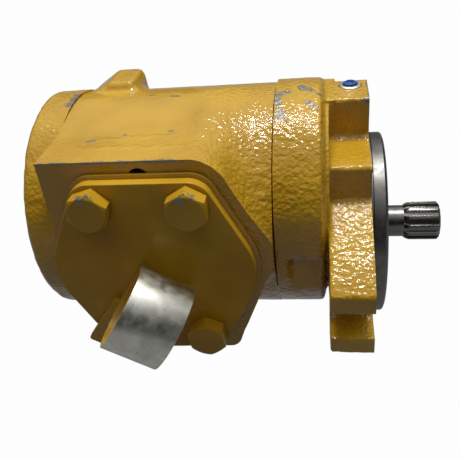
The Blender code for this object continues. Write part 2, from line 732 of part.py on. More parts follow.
def make_pistons():
    """Pistons with ball ends, and the slippers that swivel on the balls. Heights are from the
    ball's centre."""
    socket_r = BALL_R + 0.5 * MM
    face = SLIPPER_FACE_X - PIVOT_X
    mouth = -2.9 * MM
    ball = arc((0, 0), BALL_R, 0, radians(140), 5)
    piston = [
        *ball,
        (-7 * MM, 2.4 * MM),
        (-8 * MM, PISTON_R),
        (PISTON_REAR_X - PIVOT_X, PISTON_R),
        (PISTON_REAR_X - PIVOT_X, 0),
    ]
    socket = arc((0, 0), socket_r, pi - acos(-mouth / socket_r), 0, 4)
    slipper = [
        (face, 0),
        (face, 6.8 * MM),
        (face - 2.5 * MM, 6.8 * MM),
        (face - 2.5 * MM, 5.6 * MM),
        (mouth, 5.6 * MM),
        *socket,
    ]
    piston[0] = (BALL_R, 0)
    slipper[-1] = (socket_r, 0)
    for i, (y, z) in enumerate(bore_places(BALL_CIRCLE_R)):
        turned(f"piston_{i + 1}", piston, GROUND, at_pivot(y, z), 10)
        turned(f"slipper_{i + 1}", slipper, BRONZE, at_pivot(y, z), 12)


def make_retainer():
    """The plate that holds the slippers down, and the ball guide that it swivels on."""
    plate = ring("retainer_plate", 28.2 * MM, 12.4 * MM, -0.2 * MM, 2.2 * MM, STEEL, at_pivot(), 32)
    for i, (y, z) in enumerate(bore_places(BALL_CIRCLE_R)):
        cut(plate, rod(f"slipper_hole_{i}", 5.9 * MM, -5 * MM, 5 * MM, None, at_pivot(y, z), 10))
    guide_r = 12 * MM
    hub_r = 11.3 * MM
    bore = INNER_SHAFT_R + GAP
    sphere = arc((0, 0), guide_r, radians(55), radians(108), 4)
    guide = [(sphere[0][0], bore), *sphere, (-13 * MM, hub_r), (-13 * MM, bore)]
    turned("ball_guide", guide, STEEL, at_pivot(), 24)


def coil(name, radius, wire, start, end, turns, z):
    """A compression spring along X."""
    curve = bpy.data.curves.new(name, "CURVE")
    curve.dimensions = "3D"
    curve.bevel_depth = wire
    curve.bevel_resolution = 0
    curve.use_fill_caps = True
    spline = curve.splines.new("POLY")
    per_turn = 10
    count = turns * per_turn
    spline.points.add(count)
    for i, point in enumerate(spline.points):
        angle = 2 * pi * i / per_turn
        x = start + wire + (end - start - 2 * wire) * i / count
        point.co = (x, radius * cos(angle), z + radius * sin(angle), 1)
    curve.materials.append(finish_of(SPRING_STEEL))
    spring = bpy.data.objects.new(name, curve)
    spring.parent = DATUM
    PUMP.objects.link(spring)


def make_springs():
    coil("barrel_spring", 10.5 * MM, 0.9 * MM, -115.5 * MM, -67.5 * MM, 6, 0)
    coil("bias_spring", 6.6 * MM, 1.1 * MM, BIAS_SEAT_X + GAP, SPRING_BORE_END_X - GAP, 5, CONTROL_Z)


def pivot_along_y():
    """A frame along -Y on the tilt axis."""
    return along_y(PIVOT_X, 0)


def make_swashplate():
    face = SLIPPER_FACE_X + GAP - PIVOT_X
    swash = rod("swashplate", CRADLE_R, -SWASH_R, SWASH_R, IRON, pivot_along_y(), 48)
    rim = swash.modifiers.new("rim", "BOOLEAN")
    rim.operation = "INTERSECT"
    rim.object = rod("swash_rim", SWASH_R, face, 60 * MM, None, at_pivot(), 40)
    throat = [(34 * MM, 0), (34 * MM, 18.6 * MM), (0, 12.3 * MM), (0, 0)]
    arm_outline = [
        (5.6 * MM, 15 * MM),
        (18 * MM, 15 * MM),
        (14 * MM, 26 * MM),
        (6 * MM, 36 * MM),
        (6 * MM, CONTROL_Z),
        (0, CONTROL_Z),
        (0.5 * MM, 33 * MM),
        (5.6 * MM, 30.5 * MM),
    ]
    arm = slab("control_arm", arm_outline, -5 * MM, 5 * MM, None, pivot_along_y())
    pin_frame = along_y(CONTROL_PIN_X, CONTROL_Z)
    join(swash, arm, rod("control_pin", CONTROL_PIN_R, -8 * MM, 8 * MM, None, pin_frame, 18))
    cut(swash, turned("swash_throat", throat, None, at_pivot(), 24))


def make_cradle_bearings():
    reach = radians(36)
    low = CRADLE_R + GAP
    outline = arc((0, 0), low + SHELL_THICK, -reach, reach, 10)
    outline += arc((0, 0), low, reach, -reach, 10)
    for name, start in (("cradle_bearing_near", 20 * MM), ("cradle_bearing_far", -31 * MM)):
        slab(name, outline, start, start + 11 * MM, BRONZE, pivot_along_y())


def make_control():
    frame = along_x(0, CONTROL_Z)
    ring("control_sleeve", SLEEVE_R, CONTROL_R + GAP, -131 * MM, -82 * MM, STEEL, frame, 24)
    nose = CONTROL_PIN_X - CONTROL_PIN_R - GAP
    piston = [
        (nose, 0),
        (nose, 6 * MM),
        (-86 * MM, 6 * MM),
        (-86 * MM, CONTROL_R),
        (-112 * MM, CONTROL_R),
        (-112 * MM, 0),
    ]
    turned("control_piston", piston, GROUND, frame, 24)
    pusher = CONTROL_PIN_X + CONTROL_PIN_R + GAP
    stem = 4.6 * MM
    bias = [
        (-28 * MM, 0),
        (-28 * MM, stem),
        (BIAS_SEAT_X, stem),
        (BIAS_SEAT_X, 8.5 * MM),
        (BIAS_SEAT_X - 2.5 * MM, 8.5 * MM),
        (BIAS_SEAT_X - 2.5 * MM, stem),
        (pusher, stem),
        (pusher, 0),
    ]
    turned("bias_piston", bias, GROUND, frame, 20)


make_main_casing()
make_front_housing()
make_end_cover()
make_cover_parts()
make_cover_bolts()
make_strap_clamp()
make_drain()
make_tie_bolts()
make_static_seals()
make_shaft()
make_front_bearing()
make_shaft_seals()
make_valve_plate()
make_barrel()
make_pistons()
make_retainer()
make_springs()
make_swashplate()
make_cradle_bearings()
make_control()
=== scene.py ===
"""Looks for the axial piston pump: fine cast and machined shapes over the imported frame.

Lengths inside the shape functions are millimetres, measured from where the shaft's axis meets
the flange's mounting face, and piece() moves each finished shape into the frame. Sizes come
from the CAD nodes' boxes where they can.
"""

import json
from math import acos, atan2, cos, hypot, pi, radians, sin, tan

import bmesh
import bpy
import numpy as np
from mathutils import Matrix, Vector


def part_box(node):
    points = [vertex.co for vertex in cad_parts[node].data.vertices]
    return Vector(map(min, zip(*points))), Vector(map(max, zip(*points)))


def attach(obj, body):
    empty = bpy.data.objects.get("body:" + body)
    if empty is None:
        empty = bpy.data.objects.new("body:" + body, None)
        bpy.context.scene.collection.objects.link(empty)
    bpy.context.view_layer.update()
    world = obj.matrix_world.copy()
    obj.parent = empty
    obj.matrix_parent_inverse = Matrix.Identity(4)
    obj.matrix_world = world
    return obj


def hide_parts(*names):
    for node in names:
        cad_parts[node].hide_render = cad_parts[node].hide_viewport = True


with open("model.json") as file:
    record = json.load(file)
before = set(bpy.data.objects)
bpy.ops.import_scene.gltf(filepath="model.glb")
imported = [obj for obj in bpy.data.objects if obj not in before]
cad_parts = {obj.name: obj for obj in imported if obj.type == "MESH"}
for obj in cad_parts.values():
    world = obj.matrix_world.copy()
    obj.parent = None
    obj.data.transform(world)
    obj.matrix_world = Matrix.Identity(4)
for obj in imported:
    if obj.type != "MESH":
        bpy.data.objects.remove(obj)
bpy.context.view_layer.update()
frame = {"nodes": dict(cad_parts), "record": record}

MM = 0.001
VOXEL = 0.9  # the step of the castings' grids, in millimetres
SHARP_DEGREES = 32

MOUNTS = {mount["name"]: mount for mount in frame["record"]["mounts"]}
DATUM = Vector((MOUNTS["mounting_face"]["pos_m"][0], 0, 0))


def box_mm(node):
    low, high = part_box(node)
    return (np.array(low) - DATUM) / MM, (np.array(high) - DATUM) / MM


def middle_mm(node):
    low, high = box_mm(node)
    return (low + high) / 2


# ---------------------------------------------------------------- places from the frame

CASING_LOW, CASING_HIGH = box_mm("main_casing")
HOUSING_LOW, HOUSING_HIGH = box_mm("front_housing")
COVER_LOW, COVER_HIGH = box_mm("end_cover")
PLATE_LOW, PLATE_HIGH = box_mm("cover_plate")
GASKET_LOW, GASKET_HIGH = box_mm("cover_gasket")
SHAFT_LOW, SHAFT_HIGH = box_mm("shaft")
SEAT_TOP = box_mm("drain_seat")[1][2]

BODY_Z = (COVER_LOW[2] + COVER_HIGH[2]) / 2
COVER_R = (COVER_HIGH[2] - COVER_LOW[2]) / 2
CASING_R = BODY_Z - CASING_LOW[2]
PAD_X = (PLATE_LOW[0] + PLATE_HIGH[0]) / 2
PAD_Z = (PLATE_LOW[2] + PLATE_HIGH[2]) / 2
PAD_Y = CASING_LOW[1]
REAR_X = COVER_LOW[0]
REAR_JOINT_X = CASING_LOW[0]
COVER_JOINT_X = REAR_JOINT_X - 0.5
FRONT_JOINT_X = CASING_HIGH[0]
HOUSING_REAR_X = HOUSING_LOW[0]
PILOT_FACE_X = HOUSING_HIGH[0]
EAR_REACH = HOUSING_HIGH[1]
DRAIN_X, DRAIN_Y = middle_mm("drain_seat")[:2]
TIE_BOLTS = [middle_mm(f"tie_bolt_{i}")[1:] for i in range(1, 5)]
COVER_BOLTS = [middle_mm(f"cover_bolt_{i}")[[0, 2]] for i in range(1, 5)]

# ---------------------------------------------------------------- design sizes

BOSS_TOP = SEAT_TOP - 0.8
BOSS_SIDES = (-4.5, 26)  # the drain boss, in y
SHOULDER_Y, SHOULDER_Z = 37.2, 55.5  # the flange's upper corners
FLANGE_BACK_X = -21.0
HOUSING_R, HOUSING_Z = 61.7, 21.7
PILOT_R = 50.8
CAVITY_R = 33.0
CONTROL_AXIS = (0, 50)  # (y, z)
ARM_ROOM_Y = 9
PAD_TOP = 76.7
CASING_PORT_Z = 68.2
CORNER_R = 11.4
SIDE_R = 34.3
SIDE_DX = 16.3
BOLT_DX, BOLT_DZ = 23.0, 38.5
PAD_MARGIN = 6.6
GASKET_MARGIN = 1.9
BOLT_HOLE_R = 6.3
WINDOW_R = 20
SLOT_R, SLOT_Z, SLOT_Y = 7.4, -3.3, 73.0


# ---------------------------------------------------------------- distance fields

def smoothstep(low, high, value):
    t = np.clip((value - low) / (high - low), 0, 1)
    return t * t * (3 - 2 * t)


def blend_min(a, b, radius):
    """Two shapes joined with a fillet of about the given radius."""
    share = np.clip(0.5 + 0.5 * (b - a) / radius, 0, 1)
    return b + (a - b) * share - radius * share * (1 - share)


def blend_max(a, b, radius):
    return -blend_min(-a, -b, radius)


def polygon_field(points, a, b):
    """Signed distance on the grid a, b (broadcast) to a closed polygon, negative inside."""
    a, b = np.broadcast_arrays(a, b)
    best = np.full(a.shape, 1e9)
    inside = np.zeros(a.shape, bool)
    for (x0, y0), (x1, y1) in zip(points, points[1:] + points[:1]):
        ex, ey = x1 - x0, y1 - y0
        wx, wy = a - x0, b - y0
        t = np.clip((wx * ex + wy * ey) / (ex * ex + ey * ey), 0, 1)
        best = np.minimum(best, (wx - ex * t) ** 2 + (wy - ey * t) ** 2)
        crosses = (y0 > b) != (y1 > b)
        with np.errstate(divide="ignore", invalid="ignore"):
            at = x0 + (b - y0) * ex / (ey if ey else 1e-12)
        inside ^= crosses & (a < at)
    return np.where(inside, -1, 1) * np.sqrt(best)


def span_field(value, low, high):
    return np.abs(value - (low + high) / 2) - (high - low) / 2


def rounded_box_field(x, y, z, low, high, radius):
    parts = [np.abs(v - (a + b) / 2) - (b - a) / 2 + radius for v, a, b in zip((x, y, z), low, high)]
    outside = np.sqrt(sum(np.maximum(p, 0) ** 2 for p in parts))
    return outside + np.minimum(np.maximum(np.maximum(parts[0], parts[1]), parts[2]), 0) - radius


def upsampled(lattice, axis, places):
    cell = np.clip(np.floor(places).astype(int), 0, lattice.shape[axis] - 2)
    share = places - cell
    share = share * share * (3 - 2 * share)
    shape = [1, 1, 1]
    shape[axis] = -1
    share = share.reshape(shape)
    return np.take(lattice, cell, axis) * (1 - share) + np.take(lattice, cell + 1, axis) * share


def noise_field(axes, size, seed):
    """Smooth random values from -1 to 1, with features of the given size."""
    places = [(a - a[0]) / size for a in axes]
    lattice = np.random.default_rng(seed).uniform(-1, 1, [int(p[-1]) + 3 for p in places])
    for axis, place in enumerate(places):
        lattice = upsampled(lattice, axis, place)
    return lattice


def grid(low, high, step):
    axes = [np.arange(a - 2.5 * step, b + 3 * step, step) for a, b in zip(low, high)]
    return axes, np.meshgrid(*axes, indexing="ij", sparse=True)


def net_vertices(field):
    """Surface nets: one vertex in each cell the surface crosses, at its crossings' mean."""
    cells = tuple(n - 1 for n in field.shape)
    total = np.zeros((3, *cells), np.float32)
    count = np.zeros(cells, np.int8)
    for axis in range(3):
        first, second = (np.take(field, range(k, cells[axis] + k), axis) for k in (0, 1))
        cross = (first < 0) != (second < 0)
        with np.errstate(divide="ignore", invalid="ignore"):
            share = np.where(cross, first / (first - second), 0)
        others = [k for k in range(3) if k != axis]
        for da in (0, 1):
            for db in (0, 1):
                window = [slice(None)] * 3
                window[others[0]] = slice(da, cells[others[0]] + da)
                window[others[1]] = slice(db, cells[others[1]] + db)
                here = cross[tuple(window)]
                total[axis] += share[tuple(window)]
                total[others[0]] += da * here
                total[others[1]] += db * here
                count += here
    return total, count


def net_faces(field, index):
    faces = []
    for axis in range(3):
        n = field.shape[axis] - 1
        first, second = (np.take(field, range(k, n + k), axis) for k in (0, 1))
        at = np.argwhere((first < 0) != (second < 0))
        b, c = (axis + 1) % 3, (axis + 2) % 3
        at = at[(at[:, b] > 0) & (at[:, c] > 0)]
        at = at[(at[:, b] < field.shape[b] - 1) & (at[:, c] < field.shape[c] - 1)]
        corners = []
        for db, dc in ((-1, -1), (0, -1), (0, 0), (-1, 0)):
            cell = at.copy()
            cell[:, b] += db
            cell[:, c] += dc
            corners.append(index[tuple(cell.T)])
        quad = np.stack(corners, 1)
        flip = ~(first[tuple(at.T)] < 0)
        quad[flip] = quad[flip][:, ::-1]
        faces.append(quad)
    return np.concatenate(faces)


def mesh_of(name, points, faces):
    mesh = bpy.data.meshes.new(name)
    mesh.from_pydata([tuple(p) for p in np.asarray(points) * MM], [], [tuple(f) for f in faces])
    mesh.validate()
    return mesh


def new_object(name, data):
    obj = bpy.data.objects.new(name, data)
    bpy.context.scene.collection.objects.link(obj)
    return obj


def cast(name, field, axes):
    """A mesh object of a distance field's surface, closed where it meets the grid's edge."""
    field = np.pad(field[1:-1, 1:-1, 1:-1], 1, constant_values=1.0)
    total, count = net_vertices(field)
    used = count > 0
    index = np.full(count.shape, -1, np.int64)
    index[used] = np.arange(used.sum())
    cell = np.argwhere(used)
    steps = np.array([a[1] - a[0] for a in axes])
    offset = (total[:, used] / count[used]).T
    points = np.array([a[0] for a in axes]) + (cell + offset) * steps
    return new_object(name, mesh_of(name, points, net_faces(field, index).tolist()))


# ---------------------------------------------------------------- mesh helpers

def bake(obj):
    """Applies the object's modifiers to its mesh."""
    graph = bpy.context.evaluated_depsgraph_get()
    mesh = bpy.data.meshes.new_from_object(obj.evaluated_get(graph))
    obj.modifiers.clear()
    obj.data = mesh
    return obj


def carve(obj, *others, operation="DIFFERENCE", solver="MANIFOLD"):
    """Cuts, joins or trims a piece with others, which are then removed."""
    for other in others:
        boolean = obj.modifiers.new("carve", "BOOLEAN")
        boolean.operation = operation
        boolean.solver = solver
        boolean.object = other
        bake(obj)
        bpy.data.objects.remove(other)
    return obj


def shade(obj, angle=SHARP_DEGREES):
    obj.data.shade_smooth()
    obj.data.set_sharp_from_angle(angle=radians(angle))
    return obj


AXES = {
    "x": np.array([[0, 0, 1], [1, 0, 0], [0, 1, 0]]),
    "y": np.array([[1, 0, 0], [0, 0, -1], [0, 1, 0]]),
    "z": np.eye(3),
}


def on_axis(points, axis, centre):
    """Points given as (across, across, along), moved to an axis through the centre."""
    places = {"x": (0, *centre), "y": (centre[0], 0, centre[1]), "z": (*centre, 0)}
    return np.array(points) @ AXES[axis].T + np.array(places[axis])


def lathe(name, profile, axis="x", centre=(0, 0), steps=96):
    """A solid of revolution. The profile's (height, radius) points run from one end of the axis
    to the other and, for a ring, back along its bore. The centre is in the other two axes, and
    the axis "y" points along -Y."""
    solid = profile[0][1] == 0
    angles = 2 * pi * np.arange(steps) / steps
    rings = profile[1:-1] if solid else profile
    points = [(r * cos(a), r * sin(a), h) for h, r in rings for a in angles]
    count = len(rings)
    faces = []
    for i in range(count - 1 if solid else count):
        j = (i + 1) % count
        for k in range(steps):
            m = (k + 1) % steps
            faces.append((i * steps + k, i * steps + m, j * steps + m, j * steps + k))
    if solid:
        points += [(0, 0, profile[0][0]), (0, 0, profile[-1][0])]
        first, last = len(points) - 2, len(points) - 1
        for k in range(steps):
            m = (k + 1) % steps
            faces.append((first, m, k))
            faces.append((last, (count - 1) * steps + k, (count - 1) * steps + m))
    return outward(new_object(name, mesh_of(name, on_axis(points, axis, centre), faces)))


def outward(obj):
    """Turns the faces' normals out of the solid."""
    bm = bmesh.new()
    bm.from_mesh(obj.data)
    bmesh.ops.recalc_face_normals(bm, faces=bm.faces)
    bm.to_mesh(obj.data)
    bm.free()
    return obj


def rod(name, radius, start, end, axis="x", centre=(0, 0), steps=96):
    return lathe(name, [(end, 0), (end, radius), (start, radius), (start, 0)], axis, centre, steps)


def prism(name, outline, low, high, axis="x", centre=(0, 0)):
    """An outline in the plane across the axis, thickened from low to high along it."""
    n = len(outline)
    points = [(a, b, h) for h in (low, high) for a, b in outline]
    faces = [tuple(range(n)), tuple(range(n, 2 * n))]
    faces += [(i, (i + 1) % n, n + (i + 1) % n, n + i) for i in range(n)]
    return outward(new_object(name, mesh_of(name, on_axis(points, axis, centre), faces)))


def bevelled(obj, width, segments=3, angle=30):
    modifier = obj.modifiers.new("bevel", "BEVEL")
    modifier.width = width * MM
    modifier.segments = segments
    modifier.limit_method = "ANGLE"
    modifier.angle_limit = radians(angle)
    modifier.use_clamp_overlap = True
    return bake(obj)


def box_piece(name, low, high):
    outline = [(low[0], low[1]), (high[0], low[1]), (high[0], high[1]), (low[0], high[1])]
    return prism(name, outline, low[2], high[2], "z")


def hexagon(radius, turn=0):
    return [(radius * cos(a), radius * sin(a)) for a in [radians(turn + 60 * k) for k in range(6)]]


def arc(centre, radius, start, end, steps):
    turn = (end - start) / steps
    return [
        (centre[0] + radius * cos(start + turn * i), centre[1] + radius * sin(start + turn * i))
        for i in range(steps + 1)
    ]


def belt(circles, step=radians(4)):
    """The belt line round circles given as (a, b, radius), anticlockwise."""
    normals = []
    for (a0, b0, r0), (a1, b1, r1) in zip(circles, circles[1:] + circles[:1]):
        normals.append(atan2(b1 - b0, a1 - a0) - acos((r0 - r1) / hypot(a1 - a0, b1 - b0)))
    points = []
    for i, (a, b, radius) in enumerate(circles):
        sweep = (normals[i] - normals[i - 1]) % (2 * pi)
        count = max(1, round(sweep / step))
        points += arc((a, b), radius, normals[i - 1], normals[i - 1] + sweep, count)
    return points


def cover_outline(margin):
    """The cover plate's outline about the pad's centre, widened by the margin."""
    corner, side = CORNER_R + margin, SIDE_R + margin
    return belt([
        (-BOLT_DX, -BOLT_DZ, corner),
        (BOLT_DX, -BOLT_DZ, corner),
        (SIDE_DX, 0, side),
        (BOLT_DX, BOLT_DZ, corner),
        (-BOLT_DX, BOLT_DZ, corner),
        (-SIDE_DX, 0, side),
    ])


def pad_outline():
    """The casing's block under the cover, as (x, z)."""
    corner = CORNER_R + PAD_MARGIN
    left = REAR_JOINT_X - PAD_X
    top = PAD_TOP - PAD_Z
    sweep, sharp = 30.0, 0.5
    outline = belt([
        (-22, -48.2, 10),
        (31.4, -48.8, 7),
        (SIDE_DX, 0, SIDE_R + PAD_MARGIN - 1.5),
        (BOLT_DX, top - corner, corner),
        (left + sharp, top - sharp, sharp),
        (left + sweep, 0, sweep),
    ])
    return [(PAD_X + a, PAD_Z + b) for a, b in outline]


# ---------------------------------------------------------------- materials

class Look:
    """A Principled material with a few shorthands for its nodes."""

    def __init__(self, name):
        self.material = bpy.data.materials.new(name)
        self.material.use_nodes = True
        self.tree = self.material.node_tree
        self.shader = self.tree.nodes["Principled BSDF"]
        self.place = self.node("TexCoord").outputs["Object"]

    def node(self, kind, **settings):
        made = self.tree.nodes.new("ShaderNode" + kind)
        for key, value in settings.items():
            setattr(made, key, value)
        return made

    def feed(self, socket, value):
        if isinstance(value, bpy.types.NodeSocket):
            self.tree.links.new(value, socket)
        else:
            socket.default_value = value

    def math(self, operation, a, b=0.0, clamp=False):
        made = self.node("Math", operation=operation, use_clamp=clamp)
        self.feed(made.inputs[0], a)
        self.feed(made.inputs[1], b)
        return made.outputs[0]

    def vector(self, operation, a, b=(0, 0, 0)):
        made = self.node("VectorMath", operation=operation)
        self.feed(made.inputs[0], a)
        self.feed(made.inputs[1], b)
        return made.outputs["Value" if operation in ("DOT_PRODUCT", "LENGTH") else "Vector"]

    def noise(self, size_mm, detail=3.0, stretch=None, roughness=0.5):
        made = self.node("TexNoise")
        where = self.place
        if stretch:
            where = self.vector("MULTIPLY", where, stretch)
        self.feed(made.inputs["Vector"], where)
        made.inputs["Scale"].default_value = 1000 / size_mm
        made.inputs["Detail"].default_value = detail
        made.inputs["Roughness"].default_value = roughness
        return made.outputs[0]

    def ramp(self, value, low, high, start=0.0, end=1.0):
        made = self.node("MapRange", interpolation_type="SMOOTHSTEP")
        self.feed(made.inputs["Value"], value)
        for key, number in zip(("From Min", "From Max", "To Min", "To Max"), (low, high, start, end)):
            made.inputs[key].default_value = number
        return made.outputs[0]

    def mix(self, share, a, b):
        made = self.node("Mix", data_type="RGBA")
        self.feed(made.inputs[0], share)
        self.feed(made.inputs[6], a if isinstance(a, bpy.types.NodeSocket) else (*a, 1))
        self.feed(made.inputs[7], b if isinstance(b, bpy.types.NodeSocket) else (*b, 1))
        return made.outputs[2]

    def blend(self, share, a, b):
        made = self.node("Mix", data_type="FLOAT")
        for socket, value in zip(made.inputs[:4], (share, None, a, b)):
            if value is not None:
                self.feed(socket, value)
        return made.outputs[0]

    def bump(self, height, depth_mm, normal=None):
        made = self.node("Bump")
        made.inputs["Strength"].default_value = 1.0
        made.inputs["Distance"].default_value = depth_mm * MM
        self.feed(made.inputs["Height"], height)
        if normal is not None:
            self.feed(made.inputs["Normal"], normal)
        return made.outputs[0]

    def segment(self, start, end):
        """Distance in millimetres to the line between two points."""
        along = [b - a for a, b in zip(start, end)]
        length2 = max(sum(v * v for v in along), 1e-9)
        at = self.vector("SUBTRACT", self.millimetres(), start)
        share = self.math("DIVIDE", self.vector("DOT_PRODUCT", at, along), length2, clamp=True)
        scaled = self.node("VectorMath", operation="SCALE")
        scaled.inputs[0].default_value = along
        self.feed(scaled.inputs["Scale"], share)
        return self.vector("LENGTH", self.vector("SUBTRACT", at, scaled.outputs[0]))

    def millimetres(self):
        if not hasattr(self, "in_mm"):
            from_datum = self.vector("SUBTRACT", self.place, DATUM)
            self.in_mm = self.vector("MULTIPLY", from_datum, (1000, 1000, 1000))
        return self.in_mm

    def set(self, **inputs):
        for key, value in inputs.items():
            name = key.replace("_", " ")
            if isinstance(value, tuple):
                value = (*value, 1)
            self.feed(self.shader.inputs[name], value)
        return self.material


YELLOW = (0.72, 0.42, 0.024)
YELLOW_DEEP = (0.60, 0.335, 0.015)
BARE = (0.20, 0.19, 0.172)
CAP_BLUE = (0.02, 0.09, 0.36)
COAT_ROUGHNESS = 0.04
CHIP_FAR = -3.5  # how far below the edge of a chip the mask is held, away from every chip
CHIP_RAGGED = 9.0  # how strongly noise breaks up the edges of the chips
PAINT_MM = 0.12  # the step down from paint to bare metal


def enamel(name, cast_mm=0.0, grain_mm=0.0, chips=(), gloss=0.3,
           bare_face=None, cast_mask=None, coat=0.8):
    """Glossy yellow paint. Its cast_mm and grain_mm are the depths of two sizes of roughness, and
    cast_mask is a function of the look that scales the first. Chips are (start, end, width) lines
    that the paint has come off along. Beyond the X bare_face the metal was never painted."""
    look = Look(name)
    tint = look.ramp(look.noise(34, 2), 0.35, 0.7)
    colour = look.mix(tint, YELLOW_DEEP, YELLOW)
    fleck = look.ramp(look.noise(2.2, 4), 0.52, 0.72, 0, 0.25)
    colour = look.mix(fleck, colour, YELLOW_DEEP)
    roughness = look.ramp(look.noise(9, 3), 0.3, 0.75, gloss, gloss + 0.12)
    normal = None
    if cast_mm:
        height = look.noise(2.1, 1.0, roughness=0.4)
        if cast_mask:
            height = look.math("MULTIPLY", height, cast_mask(look))
        normal = look.bump(height, cast_mm)
    if grain_mm:
        normal = look.bump(look.noise(1.3, 0.0), grain_mm, normal)
    mask = None
    if chips:
        for start, end, width in chips:
            near = look.math("SUBTRACT", 1.0, look.math("DIVIDE", look.segment(start, end), width))
            near = look.math("MAXIMUM", near, CHIP_FAR)
            mask = near if mask is None else look.math("MAXIMUM", mask, near)
        ragged = look.blend(0.5, look.noise(3.6, 3.0), look.noise(1.1, 3.0))
        ragged = look.math("MULTIPLY", look.math("SUBTRACT", ragged, 0.5), CHIP_RAGGED)
        mask = look.ramp(look.math("ADD", mask, ragged), 0.0, 0.2)
    if bare_face is not None:
        x = look.node("SeparateXYZ")
        look.feed(x.inputs[0], look.millimetres())
        face = look.ramp(x.outputs[0], bare_face - 0.05, bare_face)
        mask = face if mask is None else look.math("MAXIMUM", mask, face)
    metallic = 0.0
    if mask is not None:
        metal = look.mix(look.noise(1.1, 3), BARE, tuple(v * 1.7 for v in BARE))
        colour = look.mix(mask, colour, metal)
        roughness = look.blend(mask, roughness, 0.42)
        metallic = look.blend(mask, 0.0, 0.55)
        normal = look.bump(look.math("SUBTRACT", 1.0, mask), PAINT_MM, normal)
        coat = look.blend(mask, coat, 0.0)
    look.set(Base_Color=colour, Roughness=roughness, Metallic=metallic, Specular_IOR_Level=0.2)
    if normal is not None:
        look.set(Normal=normal, Coat_Normal=normal)
    return look.set(Coat_Weight=coat, Coat_Roughness=COAT_ROUGHNESS)


def turned_metal(name, colour, roughness=0.3, marks_mm=0.006, stain=0.25):
    """Steel with fine turning marks round the shaft's axis."""
    look = Look(name)
    marks = look.noise(0.35, 2.0, (1.0, 0.03, 0.03))
    stains = look.ramp(look.noise(7, 4), 0.4, 0.75, 0, stain)
    dark = tuple(v * 0.45 for v in colour)
    shade_of = look.mix(stains, colour, dark)
    rough = look.ramp(look.noise(3, 3), 0.3, 0.7, roughness, roughness + 0.12)
    return look.set(Base_Color=shade_of, Metallic=1.0, Roughness=rough,
                    Normal=look.bump(marks, marks_mm))


def zinc(name, painted=None):
    """Spotted zinc plate, with yellow overspray where painted, a function of the look, says; on the
    clamp's inner wall that yellow is a painted reflection of the yellow paint nearby, not paint.
    """
    look = Look(name)
    cloud = look.ramp(look.noise(6, 4), 0.35, 0.7)
    colour = look.mix(cloud, (0.66, 0.65, 0.56), (0.80, 0.80, 0.74))
    spots = look.ramp(look.noise(1.6, 3), 0.66, 0.72, 0, 0.5)
    colour = look.mix(spots, colour, (0.24, 0.22, 0.17))
    rough = look.ramp(look.noise(4, 4), 0.3, 0.7, 0.34, 0.48)
    normal = look.bump(look.noise(2.5, 3), 0.01)
    metallic = 1.0
    if painted:
        mask = painted(look)
        colour = look.mix(mask, colour, YELLOW_DEEP)
        metallic = look.blend(mask, 1.0, 0.0)
    return look.set(Base_Color=colour, Metallic=metallic, Roughness=rough, Normal=normal)


def rubber(name):
    look = Look(name)
    colour = look.mix(look.noise(3, 4), (0.012, 0.012, 0.012), (0.035, 0.034, 0.032))
    return look.set(Base_Color=colour, Roughness=look.ramp(look.noise(2, 3), 0.3, 0.7, 0.45, 0.7),
                    Normal=look.bump(look.noise(0.5, 2), 0.02))


def plastic(name, colour):
    look = Look(name)
    pale = tuple(min(1, v * 2.6 + 0.03) for v in colour)
    shade_of = look.mix(look.ramp(look.noise(1.4, 3), 0.45, 0.75, 0, 0.5), colour, pale)
    return look.set(Base_Color=shade_of, Roughness=0.35, Normal=look.bump(look.noise(1.0, 2), 0.08))


def bronze(name):
    look = Look(name)
    colour = look.mix(look.ramp(look.noise(5, 4), 0.35, 0.7), (0.50, 0.28, 0.09), (0.66, 0.43, 0.18))
    return look.set(Base_Color=colour, Metallic=1.0, Normal=look.bump(look.noise(0.6, 2), 0.01),
                    Roughness=look.ramp(look.noise(2, 3), 0.3, 0.7, 0.25, 0.42))


def iron(name):
    look = Look(name)
    colour = look.mix(look.noise(2, 4), (0.10, 0.10, 0.10), (0.22, 0.21, 0.20))
    return look.set(Base_Color=colour, Metallic=0.8, Roughness=0.5,
                    Normal=look.bump(look.noise(0.9, 3), 0.05))


# ---------------------------------------------------------------- the casings

def lumps(axes, seed, depth):
    """Cast skin: two sizes of unevenness."""
    return depth * (0.6 * noise_field(axes, 9.0, seed) + 0.4 * noise_field(axes, 3.2, seed + 1))


def rounded_corners(corners, step=radians(8)):
    """An outline with each (a, b, radius) corner turned into an arc."""
    points = []
    count = len(corners)
    for i, (a, b, radius) in enumerate(corners):
        before, after = corners[i - 1], corners[(i + 1) % count]
        if not radius:
            points.append((a, b))
            continue
        here = Vector((a, b))
        back = (Vector(before[:2]) - here).normalized()
        ahead = (Vector(after[:2]) - here).normalized()
        half = back.angle(ahead) / 2
        reach = radius / tan(half)
        start, end = here + back * reach, here + ahead * reach
        centre = here + (back + ahead).normalized() * radius / sin(half)
        sweep = pi - 2 * half
        first = atan2(start.y - centre.y, start.x - centre.x)
        last = atan2(end.y - centre.y, end.x - centre.x)
        turn = (last - first + pi) % (2 * pi) - pi
        steps = max(2, round(sweep / step))
        points += arc(tuple(centre), radius, first, first + turn, steps)
    return points


def tie_rods(start, end):
    """Cutters for the four tie bolts' holes."""
    return [rod(f"tie_{i}", 4.3, start, end, "x", place, 32) for i, place in enumerate(TIE_BOLTS)]


